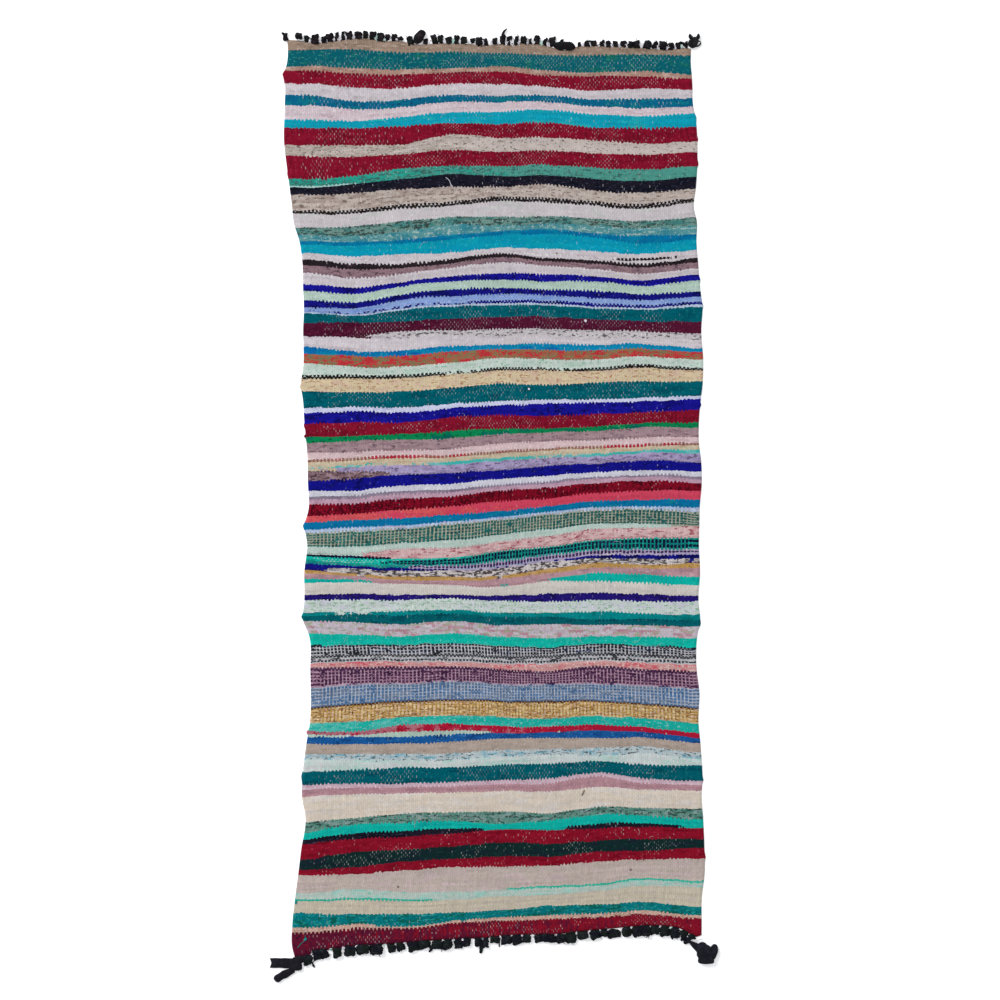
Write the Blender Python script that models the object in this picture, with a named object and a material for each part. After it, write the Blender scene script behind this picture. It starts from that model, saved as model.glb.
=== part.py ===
"""Boucherouite rug: a hand-woven rag rug lying flat, with black rag knots on its warp ends at head and foot.

The floor is z = 0. +Y runs to the head end, and +X to the right of someone who stands at the foot and
looks to the head. Sizes are millimetres from the middle of the loom piece: "across" to the right, "along"
to the head. The meshes hold metres, and each object is placed so that the whole rug is centred on the origin.
"""

import bmesh
import bpy
import numpy as np

MM = 0.001

# Cloth
CLOTH = 6.0             # thickness where the weave lies flat
SELVEDGE = 4.2          # thickness where the weft turns back at the sides, and at the two ends
ROWS = 72               # mesh rows from foot to head

# Relief of the cloth's top: swells where thick rags lie, and slow puckers between them
RIDGE_PITCH = 112.0
RIDGE_RISE = 0.8
RIDGE_SWAY = 14.0       # how far a swell wanders along the rug on its way across
SWAY_ACROSS = 190.0
SWAY_ALONG = 310.0
PUCKER_RISE = 0.7
PUCKER_WIDTH = 120.0
PUCKER_LENGTH = 88.0
PUCKER_DRIFT = 1.6
DRIFT_ALONG = 230.0
DRIFT_ACROSS = 420.0

# Room between pieces
END_GAP = 0.36          # cloth to edging, measured along the rug, so that it is 0.3 square to a slanting edge
GAP = 0.3               # between neighbouring pieces elsewhere

# Knotted edgings
HEAD_KNOTS = 52
FOOT_KNOTS = 38
BAYS = 26               # each column of the cloth's mesh meets an end between two knots
HEAD_SPAN = (-528.0, 471.0)
FOOT_SPAN = (-493.0, 480.0)
HEAD_KNOT = (16.5, 13.0)        # usual reach and height
FOOT_KNOT = (20.0, 15.0)
TIP_STRAY = 1.2                 # sideways lean of a tip
ROOT_DEPTH = 3.0        # the strip that the knots grow from
ROOT_HEIGHT = 5.0
KNOT_SHARE = 0.78       # of the room that a knot has along the edge, at its root
UNEVEN = 0.14           # hand tying: how far room, reach and height stray from the mean

# The selvedges: along, then how far the cloth reaches to the left and to the right of the centre line
SELVEDGES = (
    (-1142, 513, 502),
    (-1120, 519, 503),
    (-1062, 519, 504),
    (-1000, 513, 504),
    (-925, 503, 512),
    (-875, 497, 511),
    (-800, 486, 508),
    (-740, 495, 504),
    (-695, 494, 506),
    (-610, 484, 501),
    (-555, 475, 496),
    (-475, 473, 498),
    (-430, 474, 492),
    (-340, 477, 493),
    (-300, 492, 500),
    (-250, 489, 496),
    (-180, 489, 500),
    (-110, 482, 497),
    (-65, 488, 498),
    (-20, 478, 499),
    (40, 480, 504),
    (95, 481, 503),
    (145, 484, 497),
    (195, 489, 497),
    (245, 492, 501),
    (285, 497, 506),
    (345, 491, 508),
    (425, 492, 503),
    (480, 490, 506),
    (525, 492, 501),
    (595, 494, 495),
    (645, 501, 491),
    (695, 516, 492),
    (735, 520, 484),
    (775, 525, 489),
    (835, 533, 493),
    (900, 540, 493),
    (955, 539, 489),
    (990, 538, 482),
    (1030, 537, 481),
    (1065, 541, 479),
    (1085, 534, 477),
    (1120, 530, 477),
    (1150, 532, 478),
)

# The cloth's head edge: across, along
HEAD_EDGE = (
    (-532, 1150),
    (-500, 1148),
    (-470, 1142),
    (-400, 1150),
    (-345, 1155),
    (-290, 1147),
    (-250, 1147),
    (-210, 1139),
    (-130, 1142),
    (-40, 1138),
    (100, 1139),
    (130, 1131),
    (160, 1124),
    (192, 1133),
    (230, 1136),
    (350, 1131),
    (425, 1125),
    (460, 1130),
    (478, 1128),
)

# The cloth's foot edge: across, along
FOOT_EDGE = (
    (-513, -1142),
    (-490, -1143),
    (-462, -1129),
    (-425, -1125),
    (-370, -1116),
    (-290, -1111),
    (-175, -1102),
    (-90, -1097),
    (-30, -1095),
    (20, -1089),
    (150, -1085),
    (200, -1079),
    (280, -1071),
    (360, -1065),
    (415, -1065),
    (450, -1071),
    (478, -1087),
    (492, -1092),
    (502, -1088),
)

# One knot: share of its reach, width against its root, height against its full height
KNOT_STAGES = (
    (0.34, 1.12, 0.86),
    (0.70, 1.18, 1.00),
    (1.00, 0.80, 0.60),
)

# A knot whose rag runs on as a short tail
TAIL_STAGES = (
    (0.30, 1.10, 0.90),
    (0.52, 1.00, 0.95),
    (0.60, 0.42, 0.55),
    (1.00, 0.38, 0.34),
)

# Knots that differ from their row: number from the left, reach, sideways lean of the tip, stages
HEAD_ODD_KNOTS = {
    0: (17.0, -9.0, KNOT_STAGES),
    16: (27.0, 2.0, KNOT_STAGES),
    17: (34.0, 1.5, KNOT_STAGES),
    28: (39.0, 3.0, TAIL_STAGES),
    34: (24.0, 1.0, KNOT_STAGES),
    35: (25.0, 0.0, KNOT_STAGES),
    36: (22.0, -1.0, KNOT_STAGES),
}
FOOT_ODD_KNOTS = {
    0: (19.0, 2.0, KNOT_STAGES),
    12: (28.0, 1.5, TAIL_STAGES),
    17: (37.0, 0.5, TAIL_STAGES),
    37: (27.0, 1.0, KNOT_STAGES),
}

# Corner knots: heights of their lobes
ROSETTE_HEIGHT = 19.0
ROSETTE_LEFT_EAR_HEIGHT = 15.0
ROSETTE_RIGHT_EAR_HEIGHT = 16.0
ROSETTE_LOOP_HEIGHT = 11.0
TIE_HEIGHT = 18.0
FLAT_TAIL_HEIGHT = 4.5
LOW_TAIL_HEIGHT = 5.5
CHUNKY_KNOT_HEIGHT = 25.0
CHUNKY_EAR_HEIGHT = 20.0
CHUNKY_NECK_HEIGHT = 11.0
TIE_LAP = 8.0                   # how far the tie lies along the cloth's corner, each way
NECK_WIDTH = 11.0

SMOOTH_UNDER = 50.0             # degrees: sharper edges stay creased

# A lump of tied rag: share of its height, share of its outline, from the floor to the crown
LUMP_STAGES = (
    (0.00, 0.93),
    (0.34, 1.00),
    (0.72, 0.90),
    (1.00, 0.58),
)

# A flat tail of rag lying on the floor
STRIP_STAGES = (
    (0.00, 0.97),
    (0.45, 1.00),
    (1.00, 0.93),
)


def table(rows):
    """The columns of a table of rows, as arrays."""
    return np.array(rows, float).T


def through(at, stations, values):
    """A smooth curve through the rows of a table, whose stations rise."""
    slopes = np.gradient(values, stations)
    k = np.clip(np.searchsorted(stations, at) - 1, 0, len(stations) - 2)
    span = stations[k + 1] - stations[k]
    t = (at - stations[k]) / span
    ends = values[k] * (1 + 2 * t) * (1 - t) ** 2 + values[k + 1] * (3 - 2 * t) * t**2
    return ends + span * t * (1 - t) * (slopes[k] * (1 - t) - slopes[k + 1] * t)


def sides(along):
    """The cloth's left and right edge at a place along the rug."""
    stations, left, right = table(SELVEDGES)
    return -through(along, stations, left), through(along, stations, right)


def knot_borders(count, span, seed):
    """Where one knot's room ends and the next begins, from the left end of an edging to its right end."""
    room = 1 + UNEVEN * np.random.default_rng(seed).uniform(-1, 1, count)
    shares = np.concatenate(([0.0], np.cumsum(room))) / room.sum()
    return span[0] + (span[1] - span[0]) * shares


def end_columns(edge, borders):
    """Points of one end of the cloth: its corners, and every first or second knot border between them."""
    picked = np.round(np.linspace(0, len(borders) - 1, BAYS + 1)).astype(int)
    stations, values = table(edge)
    across = np.concatenate(([stations[0]], borders[picked], [stations[-1]]))
    along = through(across, stations, values)
    left, right = sides(along)
    share = (across - left) / (right - left)
    share[0], share[-1] = 0, 1
    return share, along


HEAD_BORDERS = knot_borders(HEAD_KNOTS, HEAD_SPAN, seed=5)
FOOT_BORDERS = knot_borders(FOOT_KNOTS, FOOT_SPAN, seed=8)
HEAD_SHARE, HEAD_ALONG = end_columns(HEAD_EDGE, HEAD_BORDERS)
FOOT_SHARE, FOOT_ALONG = end_columns(FOOT_EDGE, FOOT_BORDERS)


def cloth_row(share_up):
    """Across and along of the cloth's columns, at a share of the way from the foot to the head."""
    along = FOOT_ALONG + (HEAD_ALONG - FOOT_ALONG) * share_up
    column = FOOT_SHARE + (HEAD_SHARE - FOOT_SHARE) * share_up
    left, right = sides(along)
    return left + (right - left) * column, along


HEAD_LINE = cloth_row(1.0)
FOOT_LINE = cloth_row(0.0)


def relief(across, along):
    """Height of the cloth's top: soft swells where thick rags lie, and slow puckers between them."""
    sway = RIDGE_SWAY * np.sin(across / SWAY_ACROSS + along / SWAY_ALONG)
    ridge = np.sin(2 * np.pi * (along + sway) / RIDGE_PITCH)
    drift = PUCKER_DRIFT * np.sin(along / DRIFT_ALONG)
    pucker = np.sin(across / PUCKER_WIDTH + drift) * np.sin(along / PUCKER_LENGTH + across / DRIFT_ACROSS)
    return CLOTH + RIDGE_RISE * ridge + PUCKER_RISE * pucker


def material(name, colour, roughness):
    made = bpy.data.materials.new(name)
    made.use_nodes = True
    shader = made.node_tree.nodes["Principled BSDF"]
    shader.inputs["Base Color"].default_value = (*colour, 1)
    shader.inputs["Roughness"].default_value = roughness
    shader.inputs["Metallic"].default_value = 0
    made.diffuse_color = (*colour, 1)
    return made


def finish(bm, name, look, collection):
    """Turns a closed bmesh in millimetres into an object in metres."""
    bmesh.ops.recalc_face_normals(bm, faces=bm.faces[:])
    bmesh.ops.scale(bm, vec=(MM, MM, MM), verts=bm.verts[:])
    mesh = bpy.data.meshes.new(name)
    bm.to_mesh(mesh)
    bm.free()
    mesh.shade_smooth()
    mesh.set_sharp_from_angle(angle=np.radians(SMOOTH_UNDER))
    mesh.materials.append(look)
    made = bpy.data.objects.new(name, mesh)
    collection.objects.link(made)
    return made


def make_field(look, collection):
    """The cloth: a flat underside on the floor, and a top of rows and columns with the soft relief."""
    bm = bmesh.new()
    grid = []
    for row in range(ROWS + 1):
        across, along = cloth_row(row / ROWS)
        height = relief(across, along)
        height[[0, -1]] = SELVEDGE
        if row in (0, ROWS):
            height[:] = SELVEDGE
        grid.append([bm.verts.new(point) for point in zip(across, along, height)])
    for low, high in zip(grid, grid[1:]):
        for k in range(len(low) - 1):
            bm.faces.new((low[k], low[k + 1], high[k + 1], high[k]))
    rim = grid[0][:-1] + [row[-1] for row in grid[:-1]] + grid[-1][:0:-1] + [row[0] for row in grid[:0:-1]]
    floor = [bm.verts.new((v.co.x, v.co.y, 0)) for v in rim]
    for k in range(len(rim)):
        bm.faces.new((rim[k - 1], floor[k - 1], floor[k], rim[k]))
    bm.faces.new(floor[::-1])
    return finish(bm, "rug_field", look, collection)


def ring(bm, centre, half_width, height):
    """Four corners of a knot's section: left and right on the floor, then right and left above."""
    left = (centre[0] - half_width, centre[1])
    right = (centre[0] + half_width, centre[1])
    corners = ((*left, 0), (*right, 0), (*right, height), (*left, height))
    return [bm.verts.new(corner) for corner in corners]


def grow_knot(bm, root, outward, reach, lean, height, stages):
    """One knot as a four-sided lock: rings of four corners from the strip's outer face to a closed tip."""
    foot_left, foot_right = root[0].co, root[1].co
    middle = (foot_left + foot_right) / 2
    half = (foot_right.x - foot_left.x) / 2
    last = root
    for share, width, tall in stages:
        centre = (middle.x + lean * share, middle.y + outward * reach * share)
        now = ring(bm, centre, half * width, height * tall)
        for k in range(4):
            bm.faces.new((last[k - 1], last[k], now[k], now[k - 1]))
        last = now
    bm.faces.new(last)


def make_edging(name, line, borders, outward, knot, odd_knots, seed, look, collection):
    """A narrow strip along one end of the cloth, with a knot on it between each two borders."""
    bm = bmesh.new()
    reach, height = knot
    stations = [borders[0]]
    for low, high in zip(borders, borders[1:]):
        spare = (high - low) * (1 - KNOT_SHARE) / 2
        stations += [low + spare, high - spare, high]
    sections = []
    for across in stations:
        inner = np.interp(across, *line) + outward * END_GAP
        outer = inner + outward * ROOT_DEPTH
        corners = ((inner, 0), (inner, ROOT_HEIGHT), (outer, ROOT_HEIGHT), (outer, 0))
        sections.append([bm.verts.new((across, along, z)) for along, z in corners])
    bm.faces.new(sections[0])
    bm.faces.new(sections[-1])
    draw = np.random.default_rng(seed)
    for k, (near, far) in enumerate(zip(sections, sections[1:])):
        for side in (0, 1, 2):
            bm.faces.new((near[side - 1], near[side], far[side], far[side - 1]))
        number, place = divmod(k, 3)
        if place != 1:
            bm.faces.new((near[2], near[3], far[3], far[2]))
            continue
        stray = draw.uniform(-1, 1, 3) * (UNEVEN, UNEVEN, TIP_STRAY)
        usual = (reach * (1 + stray[0]), stray[2], KNOT_STAGES)
        knot_reach, lean, stages = odd_knots.get(number, usual)
        root = (near[3], far[3], far[2], near[2])
        grow_knot(bm, root, outward, knot_reach, lean, height * (1 + stray[1]), stages)
    return finish(bm, name, look, collection)


def make_lump(name, outline, height, stages, look, collection):
    """Tied rag on the floor: rings of one outline, drawn towards its middle as they rise."""
    bm = bmesh.new()
    points = np.array(outline, float)
    middle = points.mean(axis=0)
    rings = []
    for up, share in stages:
        drawn = middle + (points - middle) * share
        rings.append([bm.verts.new((x, y, up * height)) for x, y in drawn])
    for low, high in zip(rings, rings[1:]):
        for k in range(len(low)):
            bm.faces.new((low[k - 1], low[k], high[k], high[k - 1]))
    bm.faces.new(rings[0])
    bm.faces.new(rings[-1])
    return finish(bm, name, look, collection)


def join(base, others, guides):
    """Joins lobes of one knot into its solid, and keeps the lobes as guides."""
    for other in others:
        union = base.modifiers.new("join_" + other.name, "BOOLEAN")
        union.operation = "UNION"
        union.solver = "EXACT"
        union.object = other
        for holder in list(other.users_collection):
            holder.objects.unlink(other)
        guides.objects.link(other)
        other.hide_render = True
        other.display_type = "WIRE"


def seat(line, across, outward):
    """A point of a corner knot that lies against an end of the cloth."""
    return across, np.interp(across, *line) + outward * END_GAP


def make_head_right_knot(look, collection, guides):
    """The rosette: a lump with two ears up and a loop to the right, over the cloth's corner."""
    left = HEAD_BORDERS[-1] + GAP
    corner = HEAD_LINE[0][-1]
    body = make_lump(
        "head_right_knot",
        [
            seat(HEAD_LINE, left, 1),
            seat(HEAD_LINE, corner, 1),
            (486, 1131),
            (493, 1133),
            (496, 1141),
            (495, 1150),
            (491, 1158),
            (479, 1159),
            (474, 1152),
            (left, 1142),
        ],
        ROSETTE_HEIGHT,
        LUMP_STAGES,
        look,
        collection,
    )
    ear_left = make_lump(
        "rosette_ear_left",
        [(473, 1150), (484, 1148), (485, 1157), (481, 1164), (475, 1165), (473, 1159)],
        ROSETTE_LEFT_EAR_HEIGHT,
        LUMP_STAGES,
        look,
        collection,
    )
    ear_right = make_lump(
        "rosette_ear_right",
        [(484, 1150), (495, 1147), (498, 1154), (499, 1162), (494, 1165), (488, 1160)],
        ROSETTE_RIGHT_EAR_HEIGHT,
        LUMP_STAGES,
        look,
        collection,
    )
    loop = make_lump(
        "rosette_loop",
        [(486, 1134), (494, 1131), (499, 1135), (501, 1141), (497, 1146), (488, 1144)],
        ROSETTE_LOOP_HEIGHT,
        LUMP_STAGES,
        look,
        collection,
    )
    join(body, (ear_left, ear_right, loop), guides)


def make_foot_left_tie(look, collection, guides):
    """A knot against the cloth's corner, with one tail to the left and one down to the left."""
    right = FOOT_BORDERS[0] - GAP
    corner = FOOT_LINE[0][0]
    below = FOOT_LINE[1][0] - 2 * END_GAP
    body = make_lump(
        "foot_left_tie",
        [
            (corner - TIE_LAP, below),
            (corner, below),
            seat(FOOT_LINE, corner + TIE_LAP, -1),
            seat(FOOT_LINE, right, -1),
            (right, -1160),
            (-496, -1171),
            (-506, -1175),
            (-518, -1177),
            (-528, -1171),
            (-529, -1157),
        ],
        TIE_HEIGHT,
        LUMP_STAGES,
        look,
        collection,
    )
    flat_tail = make_lump(
        "tie_tail_left",
        [
            (-571, -1146),
            (-538, -1144.6),
            (-517, -1145),
            (-514, -1168),
            (-537, -1172),
            (-548, -1169),
            (-571, -1170),
            (-567, -1158),
        ],
        FLAT_TAIL_HEIGHT,
        STRIP_STAGES,
        look,
        collection,
    )
    low_tail = make_lump(
        "tie_tail_down",
        [
            (-536, -1173),
            (-565, -1191),
            (-567, -1197),
            (-563, -1205),
            (-549, -1205),
            (-542, -1199),
            (-529, -1194),
            (-512, -1177),
            (-520, -1166),
        ],
        LOW_TAIL_HEIGHT,
        STRIP_STAGES,
        look,
        collection,
    )
    join(body, (flat_tail, low_tail), guides)


def make_foot_right_knot(look, collection, guides):
    """A chunky knot below the corner, with a neck up to the edging's end and an ear to the right."""
    left = FOOT_BORDERS[-1] + GAP
    body = make_lump(
        "foot_right_knot",
        [
            (491, -1113),
            (497, -1104),
            (506, -1101),
            (516, -1107),
            (526, -1114),
            (534, -1125),
            (536, -1140),
            (538, -1149),
            (529, -1159),
            (502, -1159),
            (496, -1142),
            (493, -1127),
        ],
        CHUNKY_KNOT_HEIGHT,
        LUMP_STAGES,
        look,
        collection,
    )
    ear = make_lump(
        "knot_ear",
        [
            (518, -1120),
            (526, -1113),
            (537, -1107),
            (543, -1111),
            (546, -1120),
            (540, -1131),
            (533, -1140),
            (520, -1136),
        ],
        CHUNKY_EAR_HEIGHT,
        LUMP_STAGES,
        look,
        collection,
    )
    neck = make_lump(
        "knot_neck",
        [
            seat(FOOT_LINE, left, -1),
            seat(FOOT_LINE, left + NECK_WIDTH, -1),
            (500, -1108),
            (500, -1127),
            (487, -1125),
            (479, -1117),
            (left, -1112),
        ],
        CHUNKY_NECK_HEIGHT,
        LUMP_STAGES,
        look,
        collection,
    )
    join(body, (ear, neck), guides)


def centre(collection):
    """Moves every piece so that the rug's box is centred on the origin."""
    bpy.context.view_layer.update()
    graph = bpy.context.evaluated_depsgraph_get()
    corners = []
    for made in collection.objects:
        mesh = made.evaluated_get(graph).to_mesh()
        corners += [vertex.co.to_2d() for vertex in mesh.vertices]
    corners = np.array(corners)
    middle = (corners.min(axis=0) + corners.max(axis=0)) / 2
    for made in bpy.data.objects:
        made.location = (-middle[0], -middle[1], 0)


def main():
    for old in list(bpy.data.objects):
        bpy.data.objects.remove(old)
    rug = bpy.data.collections.new("boucherouite_rug")
    guides = bpy.data.collections.new("joined_lobes")
    bpy.context.scene.collection.children.link(rug)
    bpy.context.scene.collection.children.link(guides)

    make_field(material("striped_rag_weave", (0.36, 0.30, 0.31), 0.9), rug)
    head_look = material("black_rag_knots", (0.012, 0.011, 0.014), 0.85)
    make_edging("head_edging", HEAD_LINE, HEAD_BORDERS, 1, HEAD_KNOT, HEAD_ODD_KNOTS, 3, head_look, rug)
    foot_look = material("navy_black_rag_knots", (0.011, 0.012, 0.018), 0.85)
    make_edging("foot_edging", FOOT_LINE, FOOT_BORDERS, -1, FOOT_KNOT, FOOT_ODD_KNOTS, 4, foot_look, rug)
    make_head_right_knot(material("black_rag_rosette", (0.010, 0.011, 0.012), 0.85), rug, guides)
    make_foot_left_tie(material("charcoal_rag_tie", (0.011, 0.013, 0.018), 0.85), rug, guides)
    make_foot_right_knot(material("charcoal_rag_knot", (0.013, 0.012, 0.018), 0.85), rug, guides)
    centre(rug)


main()
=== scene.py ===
# %% [markdown]
# # A boucherouite rug, laid flat
# A boucherouite rug is woven by hand from worn-out clothes. Strips of rag are the weft: they run from side
# to side, over one cotton warp and under the next, and are beaten down so hard that the warps hardly show.
# The two ends are finished with black rag, knotted over the cut warp ends.
#
# This script dresses a plain solid model of such a rug. The solids are loaded first, as a fixed frame, and
# every piece made here lies where its solid does. All that is seen is made from numbers: the shape of the
# cloth from its rows and columns, its colours from the weaver's order of rags.

import math
from types import SimpleNamespace

import bpy
import numpy as np
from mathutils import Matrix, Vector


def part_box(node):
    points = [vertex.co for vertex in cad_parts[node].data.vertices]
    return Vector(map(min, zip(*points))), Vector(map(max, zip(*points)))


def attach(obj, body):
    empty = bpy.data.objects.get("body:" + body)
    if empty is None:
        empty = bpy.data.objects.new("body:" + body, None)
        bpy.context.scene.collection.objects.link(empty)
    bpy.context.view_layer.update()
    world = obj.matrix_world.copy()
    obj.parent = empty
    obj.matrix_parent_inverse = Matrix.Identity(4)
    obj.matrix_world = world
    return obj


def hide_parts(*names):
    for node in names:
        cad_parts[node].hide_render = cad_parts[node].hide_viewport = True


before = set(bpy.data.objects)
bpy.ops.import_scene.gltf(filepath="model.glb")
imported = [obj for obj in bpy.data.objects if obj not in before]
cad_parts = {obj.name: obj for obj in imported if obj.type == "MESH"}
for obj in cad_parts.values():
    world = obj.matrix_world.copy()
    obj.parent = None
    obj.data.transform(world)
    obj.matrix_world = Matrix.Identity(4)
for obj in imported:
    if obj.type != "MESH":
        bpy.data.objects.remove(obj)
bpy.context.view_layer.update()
print("solids:", sorted(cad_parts))

# %% [markdown]
# ## Where things are
# Sizes are written as a weaver would say them: millimetres "across" from the middle of the loom, positive
# to the right, and "along" from its middle, positive towards the head end. Blender works in metres from the
# middle of the whole rug. The tie at the foot's left corner reaches furthest to the left and furthest down,
# and its place in the frame tells how far the two middles lie apart.

# %% Units and places
MM = 0.001
TIE_REACH = (-571.0, -1205.0)            # the furthest the tie reaches across and along

tie_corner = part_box("foot_left_tie")[0]
MIDDLE = np.array([tie_corner.x / MM - TIE_REACH[0], tie_corner.y / MM - TIE_REACH[1], 0.0])


def placed(points):
    """Points in millimetres from the loom's middle, as metres in the frame."""
    return (np.asarray(points, float) + MIDDLE) * MM


def new_object(name, data):
    """An object for a mesh, a light or a camera, put into the scene."""
    made = bpy.data.objects.new(name, data)
    bpy.context.scene.collection.objects.link(made)
    return made


print("loom's middle in the frame, mm:", np.round(MIDDLE, 2))

# %% [markdown]
# ## The outline
# Hand-woven cloth is never quite straight: the weft pulls some stretches in, and a loose turn of rag bulges
# out. An outline needs only the points where it changes. A cubic curve runs smoothly through them, so one
# short table stands for each side. The same tables gave the solid its outline.

# %% The rug's edges
# along, then how far the cloth reaches to the left and to the right
SELVEDGES = (
    (-1142, 513, 502), (-1120, 519, 503), (-1062, 519, 504), (-1000, 513, 504), (-925, 503, 512),
    (-875, 497, 511), (-800, 486, 508), (-740, 495, 504), (-695, 494, 506), (-610, 484, 501),
    (-555, 475, 496), (-475, 473, 498), (-430, 474, 492), (-340, 477, 493), (-300, 492, 500),
    (-250, 489, 496), (-180, 489, 500), (-110, 482, 497), (-65, 488, 498), (-20, 478, 499),
    (40, 480, 504), (95, 481, 503), (145, 484, 497), (195, 489, 497), (245, 492, 501),
    (285, 497, 506), (345, 491, 508), (425, 492, 503), (480, 490, 506), (525, 492, 501),
    (595, 494, 495), (645, 501, 491), (695, 516, 492), (735, 520, 484), (775, 525, 489),
    (835, 533, 493), (900, 540, 493), (955, 539, 489), (990, 538, 482), (1030, 537, 481),
    (1065, 541, 479), (1085, 534, 477), (1120, 530, 477), (1150, 532, 478),
)
# across, along
HEAD_EDGE = (
    (-532, 1150), (-500, 1148), (-470, 1142), (-400, 1150), (-345, 1155), (-290, 1147), (-250, 1147),
    (-210, 1139), (-130, 1142), (-40, 1138), (100, 1139), (130, 1131), (160, 1124), (192, 1133),
    (230, 1136), (350, 1131), (425, 1125), (460, 1130), (478, 1128),
)
FOOT_EDGE = (
    (-513, -1142), (-490, -1143), (-462, -1129), (-425, -1125), (-370, -1116), (-290, -1111),
    (-175, -1102), (-90, -1097), (-30, -1095), (20, -1089), (150, -1085), (200, -1079), (280, -1071),
    (360, -1065), (415, -1065), (450, -1071), (478, -1087), (492, -1092), (502, -1088),
)
# A turn of the weft that stands out of the selvedge: along, how far out, half its length
LEFT_TURNS = (
    (1065, 3, 6), (812, 2, 6), (283, 3.5, 8), (185, 5, 3), (158, 6, 4), (-65, 5, 9), (-292, 4, 6),
    (-580, 6, 5), (-690, 3, 12),
)
RIGHT_TURNS = (
    (955, 2.5, 7), (902, 2.5, 6), (840, 3, 8), (550, 2.5, 6), (485, 3, 6), (237, 3.5, 4), (-310, 3, 9),
    (-700, 3, 7), (-892, 2.5, 9),
)


def through(at, stations, values):
    """A smooth curve through the rows of a table, whose stations rise; it stays level past both ends."""
    stations, values = np.asarray(stations, float), np.asarray(values, float)
    at = np.clip(at, stations[0], stations[-1])
    slopes = np.gradient(values, stations)
    k = np.clip(np.searchsorted(stations, at) - 1, 0, len(stations) - 2)
    span = stations[k + 1] - stations[k]
    t = (at - stations[k]) / span
    ends = values[k] * (1 + 2 * t) * (1 - t) ** 2 + values[k + 1] * (3 - 2 * t) * t**2
    return ends + span * t * (1 - t) * (slopes[k] * (1 - t) - slopes[k + 1] * t)


def turned_out(along, turns):
    """How far the turns of the weft stand out of a selvedge."""
    return sum(out * np.exp(-(((along - place) / half) ** 2)) for place, out, half in turns)


def sides(along):
    """The cloth's left and right edge at a place along the rug."""
    stations, left, right = np.array(SELVEDGES, float).T
    out_left = through(along, stations, left) + turned_out(along, LEFT_TURNS)
    out_right = through(along, stations, right) + turned_out(along, RIGHT_TURNS)
    return -out_left, out_right


CALM = np.arange(-75, 76, 25)            # mm along, over which a calm edge is the mean of the wobbling one
EDGE_REACH = 28.0          # how far in from the selvedge its own wobble is felt


def warp_lines(along, share):
    """Across of the warps, given as shares of the width: calm inside, wobbling at the selvedges."""
    calm_left, calm_right = np.mean([sides(along + shift) for shift in CALM], 0)
    left, right = sides(along)
    from_left = (calm_right - calm_left) * share
    from_right = (calm_right - calm_left) * (1 - share)
    across = calm_left + from_left
    across += (left - calm_left) * np.exp(-from_left / EDGE_REACH)
    return across + (right - calm_right) * np.exp(-from_right / EDGE_REACH)


width = np.diff(sides(np.arange(-1140.0, 1140.0)), axis=0)
print("narrowest and widest, mm:", round(width.min()), round(width.max()))

# %% [markdown]
# ## The rags
# Each rag is an old garment, so it is hardly ever one flat colour. Here a rag has its main colour, a second
# colour in patches (a print, or another worn garment of the same kind), and small flecks of a third, each
# with its share of the surface. It also says how far the pale warps show between its turns, whether its
# patches gather at the left (+) or the right (-), and its grain: 0 where the patches are blotches that run
# through several turns, 1 where each turn of the rag shows another part of the print, and below 0 where they
# are strokes that stand upright over the turns, as in rag that was pressed up against its neighbour.

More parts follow.
